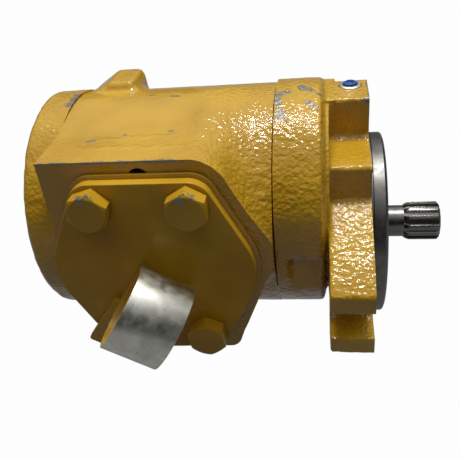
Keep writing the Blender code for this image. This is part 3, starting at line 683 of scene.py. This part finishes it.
def make_casing():
    low = (REAR_JOINT_X - 4, PAD_Y - 4, CASING_LOW[2] - 2)
    high = (FRONT_JOINT_X + 4, CASING_HIGH[1] + 2, CASING_HIGH[2] + 2)
    axes, (x, y, z) = grid(low, high, VOXEL)
    barrel = np.maximum(np.hypot(y, z - BODY_Z) - CASING_R, span_field(x, low[0], high[0]))
    outline = [(a - (3 if a < REAR_JOINT_X + 1 else 0), b) for a, b in pad_outline()]
    block = np.maximum(polygon_field(outline, x, z), span_field(y, PAD_Y - 3, -5))
    fillet = 2.5 + (4.5 + 10 * smoothstep(PAD_X + 5, PAD_X + 30, x)) * smoothstep(-5, 30, z)
    field = blend_min(barrel, block, fillet)
    boss_outline = rounded_corners([
        (REAR_JOINT_X - 3, 60, 0), (-124.0, 60, 0), (-125.8, 81.5, 0), (-127.6, 85.2, 3.0),
        (-141, 85.2, 5.0), (REAR_JOINT_X - 3, 74.5, 0),
    ])
    boss = blend_max(polygon_field(boss_outline, x, z), span_field(y, 12, 38), 4)
    field = blend_min(field, boss, 4)
    smooth_side = smoothstep(PAD_X + 2, PAD_X + 24, x)
    skin = lumps(axes, 11, 0.14 + 0.22 * smooth_side)
    field = field + skin - worn_marks(axes, x, y)
    casing = cast("casing_casting", field, axes)
    trim = box_piece("trim", (REAR_JOINT_X, PAD_Y, low[2] - 5), (FRONT_JOINT_X - 0.25, 200, 200))
    carve(casing, trim, operation="INTERSECT")
    carve(
        casing,
        rod("cavity", CAVITY_R, REAR_X, 0),
        rod("control_bore", 12.7, -132, 0, "x", CONTROL_AXIS),
        box_piece("arm_slot", (-81, -ARM_ROOM_Y, 20), (FRONT_JOINT_X + 5, ARM_ROOM_Y, 62.5)),
        rod("window", WINDOW_R, 20, 80, "y", (PAD_X, PAD_Z)),
        rod("pad_port", 5, 52, 80, "y", (PAD_X, CASING_PORT_Z), 48),
        *tie_rods(REAR_X, 0),
        *[rod(f"tapped_{i}", BOLT_HOLE_R, 45, 80, "y", place, 32)
          for i, place in enumerate(COVER_BOLTS)],
    )
    shade(casing)
    ridge = (REAR_JOINT_X, PAD_Y, PAD_TOP), (PAD_X + 17, PAD_Y, PAD_TOP)
    chips = [
        (*ridge, 0.75),
        (ridge[1], (PAD_X + 22, PAD_Y, PAD_TOP - 0.6), 0.4),
        ((-136, -43, PAD_TOP), (-133, -42, PAD_TOP), 0.8),
        ((-119, -37, PAD_TOP), (-118, -37, PAD_TOP), 0.5),
        ((-97, -35, PAD_TOP), (-95, -35, PAD_TOP), 0.6),
        ((-128.5, 14, 82.4), (-127, 15, 83.4), 1.1),
        ((-152, 12, 77), (-141.5, 12, 85.2), 0.25),
        ((-126, 4, 81.8), (-122, 4, 81.8), 0.4),
        ((-116, 0, 81.8), (-110, 0, 81.8), 0.35),
        ((-102, -2, 81.8), (-98, -3, 81.8), 0.7),
    ]
    finish = enamel("casing_enamel", 0.72, 0.08, chips, 0.22, cast_mask=casing_roughness)
    piece(casing, "main_casing", "housing", finish)


MARK_ROWS = [  # (y, first x, last x, height)
    (-40.5, -133, -93, 0.75), (-50.5, -139, -90, 0.85), (3, -128, -98, 0.35), (-6, -126, -100, 0.3),
]
MARK_STEP = 2.1


def worn_marks(axes, x, y):
    """Low, worn nubs in rows on the casing's top, where the casting was marked."""
    random = np.random.default_rng(5)
    raised = np.zeros((len(axes[0]), len(axes[1]), 1))
    for row_y, start, end, height in MARK_ROWS:
        for at in np.arange(start, end, MARK_STEP):
            cx, cy = at + random.uniform(-0.6, 0.6), row_y + random.uniform(-1.7, 1.7)
            length, width = random.uniform(0.8, 1.9), random.uniform(0.7, 1.1)
            near = ((x - cx) / length) ** 2 + ((y - cy) / width) ** 2
            raised = np.maximum(raised, height * random.uniform(0.5, 1) * np.exp(-near))
    return raised


def casing_roughness(look):
    """A scale for the skin's bumps: low on the block, and full on the round side beyond it."""
    split = look.node("SeparateXYZ")
    look.feed(split.inputs[0], look.millimetres())
    return look.ramp(split.outputs[0], PAD_X + 14, PAD_X + 34, 0.22, 1.0)


PORT_END_X = -154
PORTS = [(15.5, (27, 14)), (11, (-26, 12))]  # (radius, (y, z))


def make_end_cover():
    axes, (x, y, z) = grid((REAR_X - 1, COVER_LOW[1] - 1, COVER_LOW[2] - 1),
                           (COVER_HIGH[0] + 3, COVER_HIGH[1] + 1, COVER_HIGH[2] + 1), VOXEL)
    out = np.hypot(y, z - BODY_Z) - COVER_R
    edge = 3.0
    side, back = out + edge, REAR_X - x + edge
    field = np.hypot(np.maximum(side, 0), np.maximum(back, 0))
    field = field + np.minimum(np.maximum(side, back), 0) - edge
    field = field + lumps(axes, 21, 0.34)
    cover = cast("end_cover_casting", field, axes)
    front = box_piece("front", (REAR_X - 9, -90, -90), (COVER_JOINT_X, 90, 120))
    carve(cover, front, operation="INTERSECT")
    carve(cover, rod("spigot", CAVITY_R - 0.3, REAR_X + 8, COVER_HIGH[0]), operation="UNION")
    for i, (radius, place) in enumerate(PORTS):
        mouth = [(REAR_X - 2, 0), (REAR_X - 2, radius + 3.2), (REAR_X + 1.2, radius),
                 (PORT_END_X, radius), (PORT_END_X, 0)]
        face = rod(f"spot_face_{i}", radius + 7, REAR_X - 3, REAR_X + 0.5, "x", place)
        carve(cover, face, lathe(f"port_{i}", mouth, "x", place))
    carve(cover, rod("bush_bore", 12.3, -158, 0), *tie_rods(REAR_X - 5, 0))
    for i, place in enumerate(TIE_BOLTS):
        carve(cover, rod(f"counterbore_{i}", 6.8, REAR_X - 5, REAR_X + 8.5, "x", place, 48))
    shade(cover)
    rim = [(REAR_X + 0.9, COVER_R * sin(a) * -0.985, BODY_Z + COVER_R * cos(a) * 0.985)
           for a in [radians(d) for d in (8, 20, 33, 45)]]
    chips = [(rim[i], rim[i + 1], 0.55) for i in range(3)]
    joint = [(COVER_JOINT_X - 1, -COVER_R * sin(a), BODY_Z + COVER_R * cos(a))
             for a in [radians(d) for d in (-4, 8)]]
    chips.append((joint[0], joint[1], 2.0))
    finish = enamel("cover_enamel", 0.5, 0.06, chips, 0.26)
    piece(cover, "end_cover", "housing", finish)


def flange_corners():
    """The flange seen along the shaft, as (y, z, corner radius)."""
    def ear(side):
        return [
            (side * 44, -35, 8), (side * 82, -21, 1.5), (side * EAR_REACH, -20, 0.8),
            (side * EAR_REACH, 14.6, 3.0), (side * 78, 18.8, 10), (side * SHOULDER_Y, 38.6, 3.5),
        ]

    left, right = BOSS_SIDES
    near = ear(-1) + [(-SHOULDER_Y, SHOULDER_Z, 2.2), (left, SHOULDER_Z, 5.5), (left, BOSS_TOP, 2.0)]
    far = [(right, BOSS_TOP, 6), (right, SHOULDER_Z, 5), (SHOULDER_Y, SHOULDER_Z, 2.2)] + ear(1)[::-1]
    low = [(56 * cos(a), 56 * sin(a), 0) for a in [radians(d) for d in range(-48, -140, -8)]]
    return near + far + low


def make_housing():
    low = (HOUSING_REAR_X - 4, HOUSING_LOW[1] - 1, HOUSING_LOW[2] - 3)
    axes, (x, y, z) = grid(low, (4, EAR_REACH + 1, HOUSING_HIGH[2] + 2), VOXEL)
    radius = np.hypot(y, z - HOUSING_Z)
    neck = HOUSING_R - 8.5
    profile = rounded_corners([
        (low[0], -20, 0), (low[0], HOUSING_R, 0), (FLANGE_BACK_X - 3.0, HOUSING_R, 2.0),
        (FLANGE_BACK_X - 1.0, neck, 1), (FLANGE_BACK_X + 0.8, neck, 0), (FLANGE_BACK_X + 0.8, -20, 0),
    ])
    barrel = polygon_field(profile, x, radius)
    flat = polygon_field(rounded_corners(flange_corners()), y, z)
    left, right = BOSS_SIDES
    boss = [(left, 50), (right, 50), (right, BOSS_TOP), (left, BOSS_TOP)]
    root = np.maximum(polygon_field(boss, y, z), span_field(x, -30, FLANGE_BACK_X + 4))
    flange = np.maximum(blend_max(flat, FLANGE_BACK_X - x, 1.6), x - 3)
    flange = np.minimum(flange, root)
    field = blend_min(barrel, flange, 1.8)
    facet = rounded_box_field(x, y, z, (-60, -90, -50), (FLANGE_BACK_X - 1.5, -60.4, 43), 2)
    field = blend_max(field, -facet, 2)
    pocket = rounded_box_field(x, y, z, (-41, -90, -50), (FLANGE_BACK_X - 2, -56.5, 18), 4)
    field = blend_max(field, -pocket, 2.5)
    slots = np.hypot(np.minimum(np.abs(y) - SLOT_Y, 0), z - SLOT_Z) - SLOT_R
    field = blend_max(field, -slots, 1.5)
    field = field + lumps(axes, 31, 0.36)
    housing = cast("housing_casting", field, axes)
    trim = box_piece("trim", (HOUSING_REAR_X + 0.1, -120, -90), (0, 120, 120))
    carve(housing, trim, operation="INTERSECT")
    carve(
        housing,
        rod("cradle_seat", 32.8, -31.3, 31.3, "y", (-54, 0)),
        rod("front_cavity", CAVITY_R, -60, -40),
        box_piece("arm_room", (-60, -ARM_ROOM_Y, 20), (-31, ARM_ROOM_Y, 59)),
        rod("spring_bore", 10.5, -60, -21.5, "x", CONTROL_AXIS, 48),
        rod("bearing_bore", 26, -30, -4.7),
        rod("seal_bore", 21.5, -10, 20),
        rod("drain_hole", 6.2, 62, 90, "z", (DRAIN_X, DRAIN_Y), 48),
        *tie_rods(-60, -29),
    )
    shade(housing)
    rear = HOUSING_REAR_X

    def on_top(at_x, degrees, out=0.0):
        a = radians(degrees)
        return at_x, -(HOUSING_R + out) * sin(a), HOUSING_Z + (HOUSING_R + out) * cos(a)

    chips = [
        (on_top(rear + 0.8, 10), on_top(rear + 4, 25), 2.0),
        (on_top(rear + 1, 8), on_top(rear + 7, 6), 1.6),
        (on_top(rear + 12, 2), on_top(rear + 18, 6), 1.7),
        (on_top(rear + 17, 16), on_top(rear + 20, 20), 1.5),
        (on_top(rear + 22, 10), on_top(rear + 25, 11), 0.9),
        ((-5, left, BOSS_TOP), (-0.5, left, BOSS_TOP - 0.5), 1.5),
        ((-0.3, -3, BOSS_TOP), (-0.3, 22, BOSS_TOP), 0.45),
        ((-0.2, -SHOULDER_Y, SHOULDER_Z), (-0.2, -37.6, 52), 1.1),
        ((-0.2, -SHOULDER_Y, 50), (-0.2, -SHOULDER_Y, 40), 0.2),
    ]
    finish = enamel("housing_enamel", 0.66, 0.08, chips, 0.22, bare_face=-0.03)
    piece(housing, "front_housing", "housing", finish)


def make_pilot():
    """The machined register in front of the flange, with a relief groove at its root."""
    face, bore, groove = PILOT_FACE_X, 21, PILOT_R - 0.5
    profile = [
        (face, bore), (face, 22), (face, PILOT_R - 2.0), (face - 0.5, PILOT_R - 0.7),
        (face - 1.4, PILOT_R), (1.6, PILOT_R), (1.2, groove), (0.0, groove), (-1.5, groove),
        (-1.5, bore),
    ]
    pilot = shade(lathe("pilot_register", profile, steps=160))
    piece(pilot, None, "housing",
          turned_metal("pilot_metal", (0.21, 0.205, 0.19), 0.34, marks_mm=0.01, stain=0.35))


# ---------------------------------------------------------------- cover, bolts and clamp

def make_cover():
    outline = [(PAD_X + a, PAD_Z + b) for a, b in cover_outline(GASKET_MARGIN)]
    gasket = prism("cover_gasket_sheet", outline, -GASKET_HIGH[1], -GASKET_LOW[1], "y")
    plate_outline = [(PAD_X + a, PAD_Z + b) for a, b in cover_outline(0)]
    plate = prism("cover_plate_steel", plate_outline, -PLATE_HIGH[1], -PLATE_LOW[1], "y")
    bevelled(plate, 0.55, 3)
    bevelled(gasket, 0.2, 2)
    for i, place in enumerate(COVER_BOLTS):
        for sheet in (plate, gasket):
            carve(sheet, rod(f"hole_{i}", BOLT_HOLE_R, 40, 90, "y", place, 48))
    carve(gasket, rod("gasket_window", WINDOW_R, 40, 90, "y", (PAD_X, PAD_Z)))
    shade(plate)
    shade(gasket)
    piece(plate, "cover_plate", "housing",
          enamel("plate_enamel", 0.035, 0.012, gloss=0.34, coat=0.15))
    piece(gasket, "cover_gasket", "housing",
          enamel("gasket_paint", 0.05, 0.02, gloss=0.45))


BOLT_AF = 18.0
BOLT_HEAD = 7.8
BOLT_TURNS = (17.5, 29.5, 35, 20)
BOLT_CHIPS = ([(-1.5, 8.0, 2.2, 8.8)], [(-2.8, 7.4, 3.0, 8.6)], [], [])  # from each bolt's centre
BOLT_CHIP_WIDTH = 1.7


def make_bolts():
    flat = BOLT_AF / 2
    corner = flat / cos(pi / 6)
    for i, (place, turn) in enumerate(zip(COVER_BOLTS, BOLT_TURNS)):
        node = f"cover_bolt_{i + 1}"
        low, high = box_mm(node)
        top = -low[1]
        seat = top - BOLT_HEAD
        head = prism(node + "_head", hexagon(corner, turn), seat, top, "y", place)
        chamfer = [(top, 0), (top, flat - 0.5), (top - 0.35, flat + 0.1), (top - 1.25, corner + 0.1),
                   (seat + 0.5, corner + 0.1), (seat, flat - 0.2), (seat, 0)]
        carve(head, lathe("chamfer", chamfer, "y", place), operation="INTERSECT")
        bevelled(head, 0.35, 3, 24)
        carve(head, rod("shank", 6.0, -high[1], seat + 1, "y", place, 48), operation="UNION")
        shade(head, 40)
        x, z = place
        chips = [((x + a, 1 - top, z + b), (x + c, 1 - top, z + d), BOLT_CHIP_WIDTH)
                 for a, b, c, d in BOLT_CHIPS[i]]
        piece(head, node, "housing",
              enamel(f"bolt_enamel_{i + 1}", 0.05, 0.02, chips, 0.32, coat=0.3))


CLAMP_X, CLAMP_Z = -105.6, 9.0
CLAMP_R = 21.0
CLAMP_WALL = 1.8
CLAMP_HALF = 13.5
CLAMP_TURN = radians(30)
CLAMP_REACH = 49.0
CLAMP_SKEW = 0.08
SEAM_HALF = 0.12  # half the gap between the strap's ends
SEAM_START = -14
FOOT_START = -16


def make_clamp():
    """A strap bent into a loop whose ends lie together. It is drawn in the plane across the
    loop's axis, with the cover's face to the right and the foot down."""
    inner_r = CLAMP_R - CLAMP_WALL
    lap = CLAMP_R - 2 * CLAMP_WALL
    start = acos(lap / CLAMP_R)
    outer = arc((0, 0), CLAMP_R, 0, 2 * pi - start - radians(9), 96)
    lead = (lap, -CLAMP_R * sin(start) - 4.5)
    outline = [
        *outer, lead, (lap, -CLAMP_REACH),
        (inner_r - SEAM_HALF, -CLAMP_REACH), (inner_r - SEAM_HALF, SEAM_START),
        (inner_r + SEAM_HALF, SEAM_START), (inner_r + SEAM_HALF, -CLAMP_REACH),
        (CLAMP_R, -CLAMP_REACH),
    ]
    strap = prism("clamp_strap", outline, -CLAMP_HALF, CLAMP_HALF, "z")
    carve(strap, rod("inside", inner_r, -CLAMP_HALF - 1, CLAMP_HALF + 1, "z"))
    bevelled(strap, 0.35, 3, 30)
    foot_outline = rounded_corners([
        (-19.4, -CLAMP_REACH, 1.5), (CLAMP_HALF, -CLAMP_REACH, 1.5),
        (CLAMP_HALF, FOOT_START, 0.5), (-16.3, FOOT_START, 0.8),
    ])
    foot = prism("clamp_foot", [(b, a) for a, b in foot_outline], lap - 0.02, CLAMP_R, "x")
    bevelled(foot, 0.3, 2, 30)
    carve(strap, foot, operation="UNION", solver="EXACT")
    for vertex in strap.data.vertices:
        vertex.co.z += CLAMP_SKEW * max(vertex.co.y, -CLAMP_R * MM)
    axis_y = box_mm("strap_clamp")[1][1] - CLAMP_R
    turn_axes = Matrix(((0, 0, 1, 0), (1, 0, 0, 0), (0, 1, 0, 0), (0, 0, 0, 1)))
    place = Vector((CLAMP_X, axis_y, CLAMP_Z)) * MM
    strap.data.transform(Matrix.Translation(place) @ Matrix.Rotation(CLAMP_TURN, 4, "Y") @ turn_axes)
    carve(strap, rod("foot_hole", BOLT_HOLE_R, 20, 90, "y", COVER_BOLTS[3], 48))
    shade(strap)

    def painted(look):
        """Real paint on the foot, near the cover's face; on the loop's inner wall, a painted
        reflection of the yellow paint nearby.
        """
        split = look.node("SeparateXYZ")
        from_axis = look.vector("SUBTRACT", look.millimetres(), (CLAMP_X, axis_y, CLAMP_Z))
        look.feed(split.inputs[0], from_axis)
        deep = split.outputs[1]
        below = look.vector("DOT_PRODUCT", from_axis, (-sin(CLAMP_TURN), 0, -cos(CLAMP_TURN)))
        squares = [look.math("MULTIPLY", v, v) for v in (deep, below)]
        radius = look.math("SQRT", look.math("ADD", *squares))
        # The loop's inner wall gets the deep yellow paint colour as a painted reflection of the
        # yellow enamel nearby.
        inside = look.ramp(radius, CLAMP_R - 1.2, CLAMP_R - 0.8, 1, 0)
        edge = look.math("ADD", below, look.noise(2, 3))
        on_tab = look.math("MULTIPLY", look.ramp(edge, 10, 11), look.ramp(deep, 12.5, 13.5))
        return look.math("MAXIMUM", inside, on_tab)

    piece(strap, "strap_clamp", "housing", zinc("clamp_zinc", painted))


# ---------------------------------------------------------------- small parts

def make_drain():
    top = SEAT_TOP
    centre = (DRAIN_X, DRAIN_Y)
    ring = [(top, 4.1), (top, 5.2), (top - 0.5, 5.9), (64, 5.9), (64, 4.1)]
    seat = shade(lathe("drain_ring", ring, "z", centre, 64))
    piece(seat, "drain_seat", "housing", zinc("drain_zinc"))
    cap = top + 1.2
    profile = [(cap - 0.9, 0), (cap - 0.9, 1.6), (cap, 2.2), (cap, 3.0), (cap - 0.5, 3.6),
               (66, 3.7), (66, 0)]
    plug = shade(lathe("drain_cap", profile, "z", centre, 48))
    piece(plug, "drain_plug", "housing", plastic("blue_cap", CAP_BLUE))


def make_tie_bolts():
    finish = turned_metal("tie_bolt_metal", (0.16, 0.155, 0.15), 0.35, marks_mm=0.01)
    for i, place in enumerate(TIE_BOLTS):
        node = f"tie_bolt_{i + 1}"
        low, high = box_mm(node)
        back, seat = low[0], REAR_X + 8.2
        profile = [(high[0], 0), (high[0], 3.4), (high[0] - 0.6, 4), (seat, 4), (seat, 6.5),
                   (back + 0.8, 6.5), (back, 5.8), (back, 0)]
        bolt = lathe(node + "_screw", profile, "x", place, 64)
        carve(bolt, prism("socket", hexagon(3.5), back - 2, back + 4.5, "x", place))
        shade(bolt)
        piece(bolt, node, "housing", finish)


SPLINE_TEETH = 13
SPLINE_R = 10.9
SPLINE_ROOT_R = 9.25
JOURNAL_R = 12.5


def make_shaft():
    end = SHAFT_HIGH[0]
    back = SHAFT_LOW[0]
    core = [
        (end, 0), (end, 8.1), (end - 1.2, SPLINE_ROOT_R), (23, SPLINE_ROOT_R), (21.5, 9.0),
        (20, 8.9), (9.2, 8.9), (8.6, 9.3), (8.2, 12.2), (7.9, JOURNAL_R), (-20.3, JOURNAL_R),
        (-20.3, 15), (-23, 15), (-23, 8.5), (back + 1, 8.5), (back, 7.5), (back, 0),
    ]
    shaft = lathe("drive_shaft", core, steps=104)
    rising = [(-0.32, SPLINE_ROOT_R - 0.5), (-0.27, SPLINE_ROOT_R + 0.3),
              (-0.20, SPLINE_R - 0.25), (-0.17, SPLINE_R)]  # (share of the pitch, radius)
    tooth = rising + [(-offset, radius) for offset, radius in rising[::-1]]
    teeth = []
    for i in range(SPLINE_TEETH):
        for offset, radius in tooth:
            a = 2 * pi * (i + offset) / SPLINE_TEETH
            teeth.append((radius * cos(a), radius * sin(a)))
    spline = prism("spline", teeth, 20.5, end - 0.2, "x")
    envelope = [(end, 0), (end, 9.2), (end - 1.5, SPLINE_R + 0.05), (24.2, SPLINE_R + 0.05),
                (22.8, SPLINE_R - 0.4), (21.6, 9.9), (20.4, 8.8), (20.4, 0)]
    carve(spline, lathe("envelope", envelope, steps=104), operation="INTERSECT")
    carve(shaft, spline, operation="UNION")
    centre_hole = [(end + 1, 0), (end + 1, 4.0), (end, 3.4), (end - 4.5, 1.4),
                   (end - 9, 1.4), (end - 9, 0)]
    carve(shaft, lathe("centre_hole", centre_hole, steps=48))
    bevelled(shaft, 0.12, 2, 40)
    shade(shaft, 28)
    piece(shaft, "shaft", "rotating_group",
          turned_metal("shaft_metal", (0.22, 0.215, 0.20), 0.26, stain=0.3))


SEAL_BORE_R = 20.7


def make_seals():
    front, back = 6.1, -1
    profile = [(front, 12.9), (front, 14.2), (5.3, 14.8), (5.3, 18.6), (front, 19.2),
               (front, SEAL_BORE_R), (back, SEAL_BORE_R), (back, 12.9)]
    piece(shade(lathe("lip_seal", profile, steps=128)), "shaft_seal", "housing",
          rubber("seal_rubber"))
    ring = [(7.8, 18.4), (7.8, SEAL_BORE_R), (6.4, SEAL_BORE_R), (6.4, 18.4)]
    snap = lathe("snap_ring", ring, steps=128)
    carve(snap, box_piece("gap", (0, -2.5, 0), (12, 2.5, 30)))
    piece(shade(snap), "seal_snap_ring", "housing",
          turned_metal("snap_metal", (0.12, 0.12, 0.12), 0.35))


def wear(obj, finish):
    obj.data.materials.clear()
    obj.data.materials.append(finish)


def piece(obj, node, body, finish):
    """Finishes a visual piece: its material, its body and the CAD node it stands for, if any."""
    obj.data.transform(Matrix.Translation(DATUM))
    wear(obj, finish)
    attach(obj, body)
    if node:
        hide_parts(node)


def dress_cad_nodes():
    """Procedural finishes for the CAD nodes that are shown as they are."""
    finishes = {
        "yellow_enamel": lambda: enamel("inner_enamel", 0.1, 0.03),
        "machined_steel": lambda: turned_metal("inner_steel", (0.42, 0.41, 0.39), 0.28),
        "ground_steel": lambda: turned_metal("inner_ground", (0.62, 0.62, 0.61), 0.14,
                                             marks_mm=0.002, stain=0.1),
        "bronze": lambda: bronze("inner_bronze"),
        "zinc_plate": lambda: zinc("inner_zinc"),
        "iron": lambda: iron("inner_iron"),
        "seal_rubber": lambda: rubber("inner_rubber"),
        "gasket": lambda: rubber("inner_gasket"),
        "blue_plastic": lambda: plastic("inner_blue", CAP_BLUE),
        "spring_steel": lambda: turned_metal("inner_spring", (0.20, 0.20, 0.21), 0.25),
    }
    made = {}
    slots = {row["node"]: row["material_slot"] for row in frame["record"]["subparts"]}
    for name, obj in frame["nodes"].items():
        if obj.hide_render:
            continue
        slot = slots[name]
        if slot not in made:
            made[slot] = finishes[slot]()
        wear(obj, made[slot])
        shade(obj)


# ---------------------------------------------------------------- floor, light and camera

FLOOR_HALF = 4000
FLOOR_SEEN = 0.985  # the share of pure white where the floor is seen directly or in a mirror
FLOOR_MIRRORED = 0.3  # how bright that white is in a mirror


def make_floor():
    """A floor that looks white to the camera, but lights the pump as a dark one would."""
    low = min(COVER_LOW[2], HOUSING_LOW[2], CASING_LOW[2]) - 1
    corners = [(a * FLOOR_HALF, b * FLOOR_HALF, low) for a, b in ((-1, -1), (1, -1), (1, 1), (-1, 1))]
    mesh = mesh_of("floor", corners, [(0, 1, 2, 3)])
    floor = new_object("floor", mesh)
    look = Look("floor_white")
    look.set(Base_Color=(0.12, 0.12, 0.12), Roughness=0.9)
    ray = look.node("LightPath")
    glow = look.node("Emission")
    glow.inputs["Color"].default_value = (1, 1, 1, 1)
    seen = ray.outputs["Is Camera Ray"]
    mirrored = ray.outputs["Is Glossy Ray"]
    dimmed = look.math("MULTIPLY", mirrored, FLOOR_MIRRORED)
    look.feed(glow.inputs["Strength"], look.math("MAXIMUM", seen, dimmed))
    mixed = look.node("MixShader")
    either = look.math("MAXIMUM", seen, mirrored)
    look.feed(mixed.inputs[0], look.math("MULTIPLY", either, FLOOR_SEEN))
    look.tree.links.new(look.shader.outputs[0], mixed.inputs[1])
    look.tree.links.new(glow.outputs[0], mixed.inputs[2])
    look.tree.links.new(mixed.outputs[0], look.tree.nodes["Material Output"].inputs[0])
    mesh.materials.append(look.material)


DOME_TILT = radians(14)
DOME_FADE = {"From Min": 0.32, "From Max": 0.95, "To Min": 0.02, "To Max": 0.72}


def make_world():
    """A white dome, brightest overhead and a little behind, and almost dark towards the horizon.
    The camera sees it as plain white."""
    world = bpy.data.worlds.new("studio")
    bpy.context.scene.world = world
    world.use_nodes = True
    tree = world.node_tree
    background = tree.nodes["Background"]
    coordinate = tree.nodes.new("ShaderNodeTexCoord")
    dot = tree.nodes.new("ShaderNodeVectorMath")
    dot.operation = "DOT_PRODUCT"
    dot.inputs[1].default_value = (0, sin(DOME_TILT), cos(DOME_TILT))
    tree.links.new(coordinate.outputs["Generated"], dot.inputs[0])
    spread = tree.nodes.new("ShaderNodeMapRange")
    spread.interpolation_type = "SMOOTHSTEP"
    for key, value in DOME_FADE.items():
        spread.inputs[key].default_value = value
    tree.links.new(dot.outputs["Value"], spread.inputs["Value"])
    ray = tree.nodes.new("ShaderNodeLightPath")
    level = tree.nodes.new("ShaderNodeMath")
    level.operation = "MAXIMUM"
    tree.links.new(spread.outputs[0], level.inputs[0])
    tree.links.new(ray.outputs["Is Camera Ray"], level.inputs[1])
    tree.links.new(level.outputs[0], background.inputs["Strength"])
    background.inputs["Color"].default_value = (1, 1, 1, 1)


LIGHT_TARGET = DATUM + Vector((-0.07, 0, 0.03))
LIGHT_LEAN = radians(-11)
LIGHT_DISTANCE = 1.3
LIGHT_SIZE = (0.7, 0.12)
LIGHT_WATTS = 11.0


def make_light():
    """One long ceiling light that makes the highlight along the casings' shoulder."""
    light = bpy.data.lights.new("ceiling", "AREA")
    light.shape = "RECTANGLE"
    light.size, light.size_y = LIGHT_SIZE
    light.energy = LIGHT_WATTS
    obj = new_object("ceiling", light)
    away = Vector((0.05, -sin(LIGHT_LEAN), cos(LIGHT_LEAN)))
    obj.location = LIGHT_TARGET + away * LIGHT_DISTANCE
    obj.rotation_euler = (LIGHT_TARGET - obj.location).to_track_quat("-Z", "Y").to_euler()


CAMERA_PLACE = DATUM + Vector((-0.02098, -0.29445, 0.19489))
CAMERA_AZIMUTH = radians(11.313)
CAMERA_ELEVATION = radians(33.676)
CAMERA_ROLL = radians(-6.961)
CAMERA_LENS = 46.69


def make_camera():
    data = bpy.data.cameras.new("camera")
    data.lens = CAMERA_LENS
    data.sensor_width = 36
    data.clip_start = 0.01
    camera = new_object("camera", data)
    back = Vector((sin(CAMERA_AZIMUTH) * cos(CAMERA_ELEVATION),
                   -cos(CAMERA_AZIMUTH) * cos(CAMERA_ELEVATION), sin(CAMERA_ELEVATION)))
    right = Vector((0, 0, 1)).cross(back).normalized()
    up = back.cross(right)
    rolled_right = right * cos(CAMERA_ROLL) + up * sin(CAMERA_ROLL)
    rolled_up = back.cross(rolled_right)
    camera.matrix_world = Matrix.Translation(CAMERA_PLACE) @ Matrix(
        (rolled_right, rolled_up, back)).transposed().to_4x4()
    bpy.context.scene.camera = camera


make_casing()
make_end_cover()
make_housing()
make_pilot()
make_cover()
make_bolts()
make_clamp()
make_drain()
make_tie_bolts()
make_shaft()
make_seals()
dress_cad_nodes()
make_floor()
make_world()
make_light()
make_camera()
bpy.context.scene.view_settings.view_transform = "Standard"
